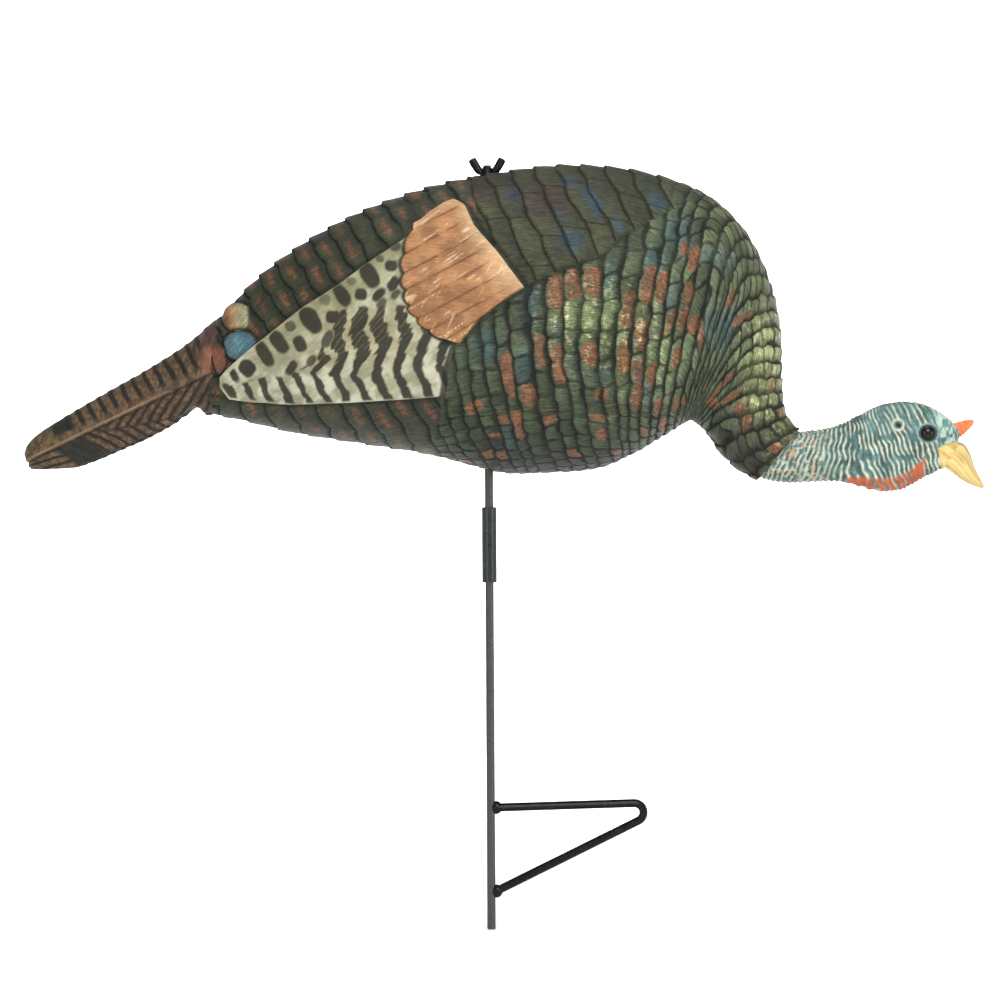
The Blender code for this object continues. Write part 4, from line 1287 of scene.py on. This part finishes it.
def vaulted(section, angle):
    """Points round a tail section: an oval whose underside is hollowed by the section's vault."""
    s, c = np.sin(angle), np.cos(angle)
    across = np.sign(s) * np.abs(s) ** FULLNESS
    oval = np.sign(c) * np.abs(c) ** FULLNESS
    upper, lower = 1 - 2 * (1 - np.maximum(c, 0)) ** 0.8, -1 + 1.1 * (1 - np.abs(s) ** 1.6)
    roof = np.where(c >= 0, upper, lower)
    vault = np.clip(section[..., 5], 0, 1)
    along = oval + (roof - oval) * vault
    top, bottom = section[..., 0:2], section[..., 2:4]
    xz = (top + bottom) / 2 + (top - bottom) / 2 * along[..., None]
    return three(xz[..., 0], section[..., 4] * across, xz[..., 1])


def rings(table, t, m, fine, shape=on_oval):
    """Rings of m points round a table's sections: their angles, places, normals and mm."""
    section = sections(table, t)
    angle = even_angles(section, m + 1, np.linspace(0, 2 * math.pi, fine), shape)[:, :-1]
    grid = shape(np.repeat(section[:, None], m, axis=1), angle)
    looped = np.concatenate([grid[:, -1:], grid, grid[:, :1]], axis=1)
    normal = normals_of(looped, looped - grid.mean(axis=1, keepdims=True))[:, 1:-1]
    return angle, grid, normal, [grid[..., i] / MM for i in range(3)]


def make_tail(material):
    angle, grid, normal, (x, y, z) = rings(TAIL, spread(TAIL[:, :5], 261), 260, 1441, vaulted)
    # the upper feather's quill rises forward; the lower feather's lies flatter and further forward
    reach, up = turned(x + 390.7, z - 402, math.radians(25.3))
    up = up + 1.5
    low_up = z - np.interp(x, (-345, -242, -225), (421, 440.3, 443))
    wob = 2.2 * (fractal(x / 8, z / 8, 111) - 0.5)
    top_bars = (reach + 0.10 * up + wob) / 10.8
    forked = (x - 0.62 * z + wob) / 8.2
    arcs = (reach + 1.1 * np.minimum(up, 0) + 0.010 * up**2 + wob) / 8.6
    tail_end = ramp(reach, 40, 34)
    long_arcs = (up + 0.16 * reach + 0.6 * wob) / 6.2
    wedge = ramp(low_up, -0.5, 0.8) * ramp(x, -330, -318) * ramp(up, 0.5, -0.8)
    above = ramp(up, -0.6, 0.6)

    def bars(phase, wide):
        g = part(phase)
        return ramp(g, 0.0, 0.12) * ramp(g, wide + 0.12, wide)

    upper = bars(top_bars, 0.40) * ramp(up, 2.0, 9.0) * (1 - 0.8 * tail_end)
    lower = bars(arcs, 0.40) * (1 - tail_end) + bars(long_arcs, 0.36) * tail_end
    lower = lower * (1 - wedge) + bars(forked, 0.42) * wedge
    bar = upper * above + lower * (1 - above)
    tone = fractal(x / 6, z / 6, 112)
    streak = noise((reach - 0.7 * np.abs(up)) / 1.4, up / 10, 113)
    brown = mix(srgb(104, 79, 60), srgb(78, 62, 48), tone)
    colour = coats(
        srgb(104, 88, 66),
        (brown, ramp(x, -380, -300) * (1 - 0.4 * above)),
        (srgb(126, 100, 78), 0.45 * ramp(streak, 0.55, 0.85)),
        (srgb(22, 21, 16), 0.94 * bar),
    )
    speck = 0.62 + 0.8 * ramp(fractal(x / 2.2, z / 2.2, 116), 0.25, 0.75)
    colour = colour * (0.63, 0.60, 0.52) * speck[..., None]
    # the dark patches near the tip, the quill, and the grooves beside it
    patch = ramp(reach + 0.55 * up, 22, 27) * ramp(reach + 0.55 * up, 54, 48)
    patch = patch * ramp(up, -2.0, -4.5)
    patch = np.maximum(patch, ramp(reach, 27, 31) * ramp(reach, 52, 46) * ramp(up, 6, 9))
    shaft = bell(up - 0.8, 1.0) * ramp(np.abs(y), 3, 9) * ramp(x, -262, -290)
    split = 0.8 * bell(low_up, 0.9) * ramp(x, -335, -320) * ramp(up, 1, -1)
    groove = np.maximum(bell(up + 1.4, 0.9) * ramp(np.abs(y), 3, 9), split)
    root = ramp(x, -246, -238)
    root_tone = mix(srgb(122, 80, 60), srgb(66, 46, 44), ramp(z, 490, 500))
    rim = bell(x + 247 + 0.12 * (z - 480), 1.6) * ramp(z, 470, 476)
    colour = coats(
        colour,
        (mix(srgb(16, 20, 15), srgb(25, 29, 22), tone), 0.95 * patch),
        (srgb(138, 112, 86), 0.75 * shaft),
        (srgb(34, 28, 20), 0.8 * groove),
        (root_tone, 0.8 * root * ramp(z, 470, 476)),
        (srgb(40, 32, 26), 0.6 * rim),
    )
    lift = 0.45 * bar + 1.1 * shaft - 1.1 * groove + 0.5 * np.sin(up / 6.5) + 0.8 * root
    lift = lift + 0.35 * (fractal(x / 4, z / 4, 115) - 0.5)
    lift = lift * ramp(x, -228, -236)
    # painted shade: the underside darker
    under = ramp(np.cos(angle), -0.2, -0.5)
    colour = colour * (1 - 0.30 * under)[..., None]
    obj = tube_mesh("tail_feathers", grid + normal * (lift * MM)[..., None])
    flow, extra = three(reach - 0.7 * np.abs(up), up, 0.0), three(0.5 * groove, 0.0, 0.0)
    paint(obj, colour, flow, extra)
    hand_over(obj, material, "decoy", "tail_fan")


# ---------------------------------------------------------------- head


def spaced_rings(table, n, m):
    """Rings whose spacing is the table's own, rounded to a fine count."""
    t = spread(table, 4 * n)
    t = t[np.linspace(0, len(t) - 1, n).astype(int)]
    return t, *rings(table, t, m, 721)


def make_head_skin(material):
    _, _, grid, normal, (x, y, z) = spaced_rings(HEAD, 300, 240)
    across = np.arctan2(np.abs(y), z - 405) * 24
    # wavy ridges that ring the neck and lean forward as they come down the cheek
    slant = np.interp(
        x, (262, 300, 318, 335, 352, 368, 380), (-0.40, -0.12, 0.20, 0.44, 0.40, 0.30, 0.22)
    )
    wob = 0.9 * np.sin(across / 3.1 + 2.2 * np.sin(x / 9))
    wob = wob + 7.5 * (fractal(x / 13, across / 11, 121) - 0.5)
    g = np.abs(part((x + slant * (z - 405) + wob * 0.62) / 4.4) - 0.5) * 4.4
    thick = 0.28 + 0.60 * noise(x / 6, across / 5, 128) + 0.25 * ramp(x, 305, 280)
    broken = ramp(noise(x / 4.5, across / 5.5, 122), 0.18, 0.52)
    ridge = ramp(g, thick + 0.60, thick - 0.30) * broken
    around = np.hypot(x - EYE[0] / MM, (z - EYE[2] / MM) * 1.12)
    face = np.maximum(ramp(x, 377, 383) * ramp(z, 398, 404), ramp(around, 11.0, 8.8))
    face = np.maximum(face, blob(x, z, (EAR_X, EAR_Z), (6, 5)))
    amount = (1 - 0.85 * np.clip(face, 0, 1)) * (1 - 0.35 * ramp(z, 434, 444))
    pale_face = noise(x / 1.8, z / 3.0, 136)
    base = coats(
        srgb(92, 128, 126),
        (srgb(60, 90, 88), ramp(fractal(x / 8, across / 7, 123), 0.25, 0.75)),
        (srgb(160, 184, 174), ramp(x, 375, 383) * ramp(pale_face, 0.25, 0.65)),
        (srgb(84, 124, 130), 0.8 * ramp(around, 13.0, 9.0)),
    )
    base = base * (1 - 0.25 * ramp(z, 424, 442) * ramp(x, 360, 330))[..., None]
    pale = mix(srgb(176, 182, 160), srgb(208, 208, 186), ramp(x, 285, 310))
    worn = 0.75 + 0.25 * ramp(noise(x / 2, z / 2, 137), 0.3, 0.6)
    # the furrows between the ridges are darkened as painted shade
    furrow = ramp(g, 1.3, 2.1)
    speck = ramp(noise(x / 2.2, across / 2.2, 129), 0.6, 0.8)
    fleck = ramp(noise(x / 3.1, across / 3.1, 124), 0.74, 0.88) * ramp(x, 296, 270)
    # the red throat, with slanted stripes across it
    throat = np.interp(x, (300, 317, 334, 351, 366, 372), (379, 375, 371.6, 373.2, 380, 385))
    throat = throat + np.interp(x, (303, 322, 340, 358, 370), (4.5, 8.5, 9.5, 13.0, 16.5))
    red = ramp(z - throat, 1.3, -1.3) * ramp(x, 301, 306) * ramp(x, 372, 366)
    g = part((x + 0.85 * (z - 375) + 2.2 * (noise(x / 6, z / 6, 126) - 0.5)) / 8.6)
    stripe = ramp(g, 0.0, 0.12) * ramp(g, 0.56, 0.42) * ramp(x, 316, 324) * ramp(x, 363, 357)
    ear = np.exp(-((((x - EAR_X) / 2.7) ** 2 + ((z - EAR_Z) / 2.6) ** 2) ** 1.5))
    ear_rim = bell(np.hypot(x - EAR_X, z - EAR_Z) - 4.6, 1.0)
    lid = bell(around - 9.0, 0.9)
    crest = ramp(noise(x / 3.4, across / 3.4, 130), 0.55, 0.75)
    colour = coats(
        base,
        (pale, 0.88 * ridge * amount * worn),
        (srgb(44, 62, 58), 0.60 * furrow * amount),
        (srgb(196, 200, 182), 0.6 * ramp(x, 292, 272) * speck),
        (srgb(186, 140, 112), 0.65 * fleck),
        (mix(srgb(184, 96, 52), srgb(150, 72, 36), noise(x / 4, z / 4, 125)), 0.95 * red),
        (mix(srgb(84, 102, 102), srgb(170, 166, 146), ridge), 0.9 * red * stripe),
        (srgb(206, 208, 188), 0.7 * ear_rim),
        (srgb(22, 28, 28), ear),
        (srgb(46, 60, 64), 0.85 * ramp(around, 9.0, 7.9)),
        (srgb(150, 172, 168), 0.45 * lid),
        (srgb(196, 190, 164), 0.6 * crest * ramp(x, 376, 382) * ramp(z, 424, 430)),
    )
    # where the horn of the beak begins
    jaw = np.interp(z, (386, 395.9, 407, 409), (385, 382.5, 379.8, 380.2))
    lip = np.interp(x, (379.8, 393, 406), (406.5, 411.5, 413.2))
    horn = ramp(x - jaw, -0.6, 0.6) * ramp(lip - z, -0.6, 0.6)
    seam = bell(x - jaw, 0.9) * ramp(lip - z, -2, 0)
    seam = np.maximum(seam, bell(lip - z, 0.8) * ramp(x - jaw, -1, 0))
    grain = ramp(noise((x * 0.6 + z) / 2.2, x / 14, 133), 0.4, 0.8)
    colour = coats(
        colour,
        (mix(srgb(207, 184, 122), srgb(186, 155, 90), grain), horn),
        (srgb(112, 88, 58), 0.18 * seam),
    )
    beside = np.abs(y) > 8
    lift = (0.95 * ridge - 0.35 * furrow) * amount + 0.4 * (fractal(x / 5, across / 5, 127) - 0.5)
    lift = lift * (1 - horn)
    lift = lift + 1.0 * lid * beside - 2.0 * ear + 0.5 * ear_rim
    lift = lift - 0.9 * ramp(around, 7.4, 5.5) * beside
    lift = lift + 1.1 * red * np.sin(np.clip((x - 300) / 72, 0, 1) * math.pi)
    lift = lift + 0.8 * horn - 0.4 * seam
    obj = tube_mesh("head_skin", grid + normal * (lift * MM)[..., None])
    paint(obj, colour * (1.04, 1.0, 0.97), three(across, x, 0.0))
    hand_over(obj, material, "decoy", "head_and_neck")


def make_beak(material):
    """One drooping horn with a line between its halves."""
    t, angle, grid, normal, _ = spaced_rings(BEAK, 120, 96)
    share = np.cos(angle)
    place = np.broadcast_to(t[:, None] / (len(BEAK) - 1), share.shape)
    gape = bell(share + 0.18, 0.055) * ramp(place, 0.02, 0.1) * ramp(place, 1.0, 0.85)
    lines = noise(place * 3, angle * 9, 131)
    colour = coats(
        srgb(207, 184, 122),
        (srgb(186, 155, 90), ramp(lines, 0.45, 0.8)),
        (srgb(212, 194, 142), 0.5 * ramp(share, 0.2, 0.9)),
        (srgb(168, 124, 70), 0.6 * gape),
        (srgb(112, 84, 52), 0.65 * ramp(share, 0.72, 0.92) * ramp(place, 0.55, 0.2)),
    )
    lift = -0.5 * gape + 0.15 * (lines - 0.5)
    obj = tube_mesh("beak_horn", grid + normal * (lift * MM)[..., None])
    paint(obj, colour, three(angle * 6, place * 45, 0.0))
    hand_over(obj, material, "decoy")


def make_snood(material):
    """A small fleshy cone on the forehead."""
    base, tip = (np.array((p[0], 0.0, p[1])) for p in SNOOD)
    axis = (tip - base) / np.linalg.norm(tip - base)
    side = np.array((0.0, 1.0, 0.0))
    up = np.cross(side, axis)
    k = np.linspace(-0.15, 1, 60)[:, None]
    a = circle(48)[None]
    radius = 6.9 * np.sqrt(np.clip(1 - np.clip(k, 0, 1) ** 2.2, 0, 1)) ** 0.9 * (1 - 0.35 * k)
    radius = radius * (1 + 0.05 * np.sin(k * 40)) + 0.02
    round_it = np.cos(a)[..., None] * up + 0.75 * np.sin(a)[..., None] * side
    grid = base + (tip - base) * k[..., None] + round_it * (radius * MM)[..., None]
    obj = tube_mesh("snood_cone", grid)
    shade = noise(*np.broadcast_arrays(k * 14, a * 2), 135)
    paint(obj, mix(srgb(212, 96, 48), srgb(226, 132, 84), shade), three(k * 18, a * 4, 0.0))
    hand_over(obj, material, "decoy")


def make_eyes(material):
    for side in (-1, 1):
        mesh = bpy.data.meshes.new("eye")
        shape = bmesh.new()
        bmesh.ops.create_uvsphere(shape, u_segments=64, v_segments=40, radius=1.0)
        shape.to_mesh(mesh)
        shape.free()
        centre = (EYE[0], side * EYE[1], EYE[2])
        mesh.transform(Matrix.Translation(centre) @ Matrix.Diagonal((0.0062, 0.0040, 0.0062, 1)))
        mesh.shade_smooth()
        eye = in_scene(side_name("eye_bead", side), mesh)
        hand_over(eye, material, "decoy", side_name("eye", side))


def eye_gloss():
    n = Nodes("eye_gloss")
    speck = n.noise(n.position(), 800.0, 3.0)
    brown = n.to_range(speck, 0.4, 0.8)
    n.look("Base Color", n.blend((0.004, 0.004, 0.004), (0.020, 0.014, 0.008), brown))
    n.look("Roughness", n.to_range(speck, 0.3, 0.7, 0.08, 0.14))
    n.look("Specular IOR Level", 0.22)
    return n.material


# ---------------------------------------------------------------- metal


def threaded_rod(material):
    """The upper rod, with a real rolled thread along its top 40 mm."""
    pitch, major, minor, plain = 1.411, 3.97, 3.10, 3.65
    low, top, thread = 326.95, 649.4, 609.4
    chamfer = 0.6
    heights = np.concatenate([
        [low, low + chamfer], np.linspace(low + 0.7, thread - 1.2, 12),
        np.arange(thread, top - 0.35, pitch / 8), [top - 0.3, top],
    ])
    # the thread is a stack of rings whose radius follows the helix
    a = circle(40)
    rows = []
    for h in heights:
        phase = (h / pitch - a / (2 * math.pi)) % 1.0
        tooth = np.clip(1.15 - np.abs(2 * phase - 1) * 1.3, 0, 1)
        fade = min(max((h - thread) / 1.5, 0.0), 1.0)
        radius = plain + fade * (minor + (major - minor) * tooth - plain)
        if h == low:
            radius = radius - chamfer
        if h == top:
            radius = np.minimum(radius, minor - 0.1)
        rows.append(three(radius * np.cos(a), radius * np.sin(a), h) * MM)
    obj = tube_mesh("threaded_upper_rod", np.array(rows))
    obj.data.set_sharp_from_angle(angle=math.radians(50))
    hand_over(obj, material, "decoy", "upper_rod")


def lathe(name, profile, segments=72):
    """A turned solid from a closed profile of (radius, height) in mm, clear of the axis."""
    a = circle(segments)
    radius, height = (np.array(values)[:, None] for values in zip(*profile, profile[0]))
    grid = three(radius * np.cos(a), radius * np.sin(a), height) * MM
    obj = tube_mesh(name, grid, caps=False)
    face_outward(obj.data, 1e-7)
    obj.data.set_sharp_from_angle(angle=math.radians(40))
    return obj


def washer(name, node, body, bottom, material):
    bore, r, thick, chamfer = 4.27, 12.5, 1.4, 0.25
    top = bottom + thick
    obj = lathe(name, [
        (bore, bottom), (r - chamfer, bottom), (r, bottom + chamfer),
        (r, top - chamfer), (r - chamfer, top), (bore, top),
    ])
    hand_over(obj, material, body, node)


# one ear of the wing nut in mm: its centre line, its width in its own plane and its thickness
EAR_STATIONS = (
    (3.9, 1.8, 1.6, 1.6), (5.8, 3.2, 3.0, 1.75), (7.9, 5.5, 3.4, 1.6), (9.7, 8.2, 3.5, 1.5),
    (11.2, 10.9, 3.6, 1.45), (12.5, 13.2, 3.5, 1.35), (13.1, 14.2, 3.1, 1.2),
    (13.3, 14.6, 0.8, 0.4),
)


def wing_nut(material):
    """A forged wing nut: a flared hub with two ears that sweep up and end in rounded lobes."""
    bottom, around, last = 640.4, circle(24), len(EAR_STATIONS) - 1
    hub = lathe("wing_nut_forged", [
        (radius, bottom + height) for radius, height in (
            (4.10, 0.0), (5.9, 0.0), (6.3, 0.4), (6.3, 1.6), (5.7, 3.0), (5.2, 5.2), (4.9, 6.3),
            (4.5, 6.6), (4.10, 6.6),
        )
    ])
    shape = bmesh.new()
    shape.from_mesh(hub.data)
    for side in (-1, 1):
        loops = []
        for i, (r, h, wide, thick) in enumerate(EAR_STATIONS):
            before, after = EAR_STATIONS[max(i - 1, 0)], EAR_STATIONS[min(i + 1, last)]
            d = np.array((after[0] - before[0], after[1] - before[1]))
            d = d / np.linalg.norm(d)
            loops.append([
                shape.verts.new((
                    side * (r + d[1] * wide * math.cos(a)) * MM,
                    thick * math.sin(a) * MM,
                    (bottom + h - d[0] * wide * math.cos(a)) * MM,
                ))
                for a in around
            ])
        for one, two in zip(loops, loops[1:]):
            for i in range(len(one)):
                j = (i + 1) % len(one)
                shape.faces.new((one[i], one[j], two[j], two[i]))
        shape.faces.new(loops[0])
        shape.faces.new(loops[-1][::-1])
    bmesh.ops.recalc_face_normals(shape, faces=shape.faces)
    shape.to_mesh(hub.data)
    shape.free()
    hub.data.shade_smooth()
    hub.data.set_sharp_from_angle(angle=math.radians(42))
    hand_over(hub, material, "wing_nut", "wing_nut")


def dress_nodes(rod, step, sleeve, bright):
    """Gives the CAD model's own pieces that stay visible their materials."""
    for name, made in (
        ("lower_rod", rod), ("foot_step", step),
        ("coupler_sleeve", sleeve), ("support_nut", bright),
    ):
        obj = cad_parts[name]
        obj.data.materials.clear()
        obj.data.materials.append(made)
        for polygon in obj.data.polygons:
            polygon.material_index = 0


# ---------------------------------------------------------------- studio


def make_stage():
    """A pale round floor that curves up into a low wall, beyond every camera."""
    turn = np.linspace(0, math.pi / 2, 16)
    profile = [(0.0001, 0.0), (1.5, 0.0), (4.0, 0.0)]
    profile += [(9.5 + 2.5 * math.sin(a), 2.5 - 2.5 * math.cos(a)) for a in turn] + [(12.0, 4.0)]
    below = 0.0006  # keeps the floor clear of the stake's end
    a = circle(96)
    grid = np.array([three(r * np.cos(a), r * np.sin(a), z - below) for r, z in profile])
    floor = tube_mesh("studio_floor", grid, caps=False)
    n = Nodes("studio_paper")
    grain = n.noise(n.position(), 3.0, 2.0)
    n.look("Base Color", n.blend((0.86, 0.86, 0.86), (0.88, 0.88, 0.88), grain))
    n.look("Roughness", 0.9)
    n.look("Emission Color", (1, 1, 1))
    n.look("Emission Strength", 0.34)
    floor.data.materials.append(n.material)


def area_light(name, place, target, size, energy):
    data = bpy.data.lights.new(name, "AREA")
    data.shape = "RECTANGLE"
    data.size, data.size_y = size
    data.energy = energy
    obj = in_scene(name, data)
    obj.location = place
    obj.rotation_euler = (Vector(target) - Vector(place)).to_track_quat("-Z", "Y").to_euler()


def make_lights():
    aim = (0.02, 0.0, 0.45)
    area_light("key", (0.45, -2.4, 1.9), aim, (1.3, 1.0), 58)
    area_light("fill", (-1.8, -2.8, 0.9), aim, (1.8, 1.6), 12)
    area_light("top", (0.1, -0.1, 2.6), aim, (2.2, 1.2), 30)
    area_light("strip_right", (2.3, -1.7, 0.5), (0.0, 0.0, 0.3), (0.5, 1.4), 17)
    area_light("back_floor", (0.0, 2.2, 2.6), (0.0, 5.5, 0.0), (5.0, 1.6), 300)
    area_light("back_wall", (0.0, 6.6, 3.4), (0.0, 11.5, 0.6), (6.0, 1.6), 700)
    world = bpy.data.worlds.new("studio_world")
    world.use_nodes = True
    world.node_tree.nodes["Background"].inputs[0].default_value = (1, 1, 1, 1)
    world.node_tree.nodes["Background"].inputs[1].default_value = 0.28
    bpy.context.scene.world = world
    bpy.context.scene.view_settings.view_transform = "Standard"


def make_camera():
    """Level, side on, 5 m away and rolled by a third of a degree."""
    data = bpy.data.cameras.new("camera")
    distance, width = VIEW_DISTANCE * MM, 0.850
    data.sensor_width = 36.0
    data.lens = data.sensor_width * distance / width
    camera = in_scene("camera", data)
    place = Matrix.Translation((VIEW_X * MM, -distance, VIEW_Z * MM))
    roll = Matrix.Rotation(math.radians(0.33), 4, "Y")
    camera.matrix_world = place @ roll @ Matrix.Rotation(math.pi / 2, 4, "X")
    bpy.context.scene.camera = camera


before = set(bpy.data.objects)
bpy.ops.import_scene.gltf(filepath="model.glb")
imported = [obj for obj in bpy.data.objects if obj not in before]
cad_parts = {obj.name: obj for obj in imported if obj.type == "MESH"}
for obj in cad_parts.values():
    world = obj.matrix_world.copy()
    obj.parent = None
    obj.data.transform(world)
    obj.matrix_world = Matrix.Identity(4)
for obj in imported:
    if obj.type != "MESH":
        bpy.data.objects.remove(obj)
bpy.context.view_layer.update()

feathers = plumage_material()
wing_paint = feather_material("painted_wing", 1.1, 0.55, 0.14)
copper_paint = feather_material("painted_copper", 1.2, 0.50, 0.22, 0.25)
tail_paint = feather_material("painted_tail", 1.2, 0.55, 0.28)
head_paint = feather_material("painted_skin", 0.7, 0.55, 0.14)
beak_paint = feather_material("painted_beak", 0.8, 0.42, 0.10)
snood_paint = feather_material("painted_snood", 0.8, 0.45, 0.12)
# base colour, worn colour, roughness, metallic share and specular
coated = coated_metal(
    "coated_steel", (0.007, 0.010, 0.007), (0.026, 0.030, 0.026), 0.24, 0.45, 0.20
)
rod_steel = coated_metal(
    "rod_steel", (0.040, 0.045, 0.038), (0.085, 0.090, 0.080), 0.30, 0.30, 0.50
)
sleeve_steel = coated_metal(
    "sleeve_steel", (0.028, 0.034, 0.030), (0.060, 0.066, 0.060), 0.22, 0.50, 0.50
)
oxide = coated_metal("black_oxide", (0.006, 0.006, 0.006), (0.03, 0.03, 0.03), 0.30, 0.6, 0.22)
zinc = coated_metal("zinc_plate", (0.50, 0.50, 0.48), (0.62, 0.62, 0.60), 0.32, 1.0, 0.50)

cutters = make_cutters()
make_body(feathers, cutters)
for cutter in cutters:
    bpy.data.objects.remove(cutter)
make_wing(wing_paint)
make_copper(copper_paint)
make_tail(tail_paint)
make_head_skin(head_paint)
make_beak(beak_paint)
make_snood(snood_paint)
make_eyes(eye_gloss())
threaded_rod(rod_steel)
washer("support_washer_flat", "support_washer", "decoy", 628.3, zinc)
washer("clamp_washer_flat", "clamp_washer", "clamp_washer", 638.7, oxide)
wing_nut(oxide)
dress_nodes(rod_steel, coated, sleeve_steel, zinc)
make_stage()
make_lights()
make_camera()
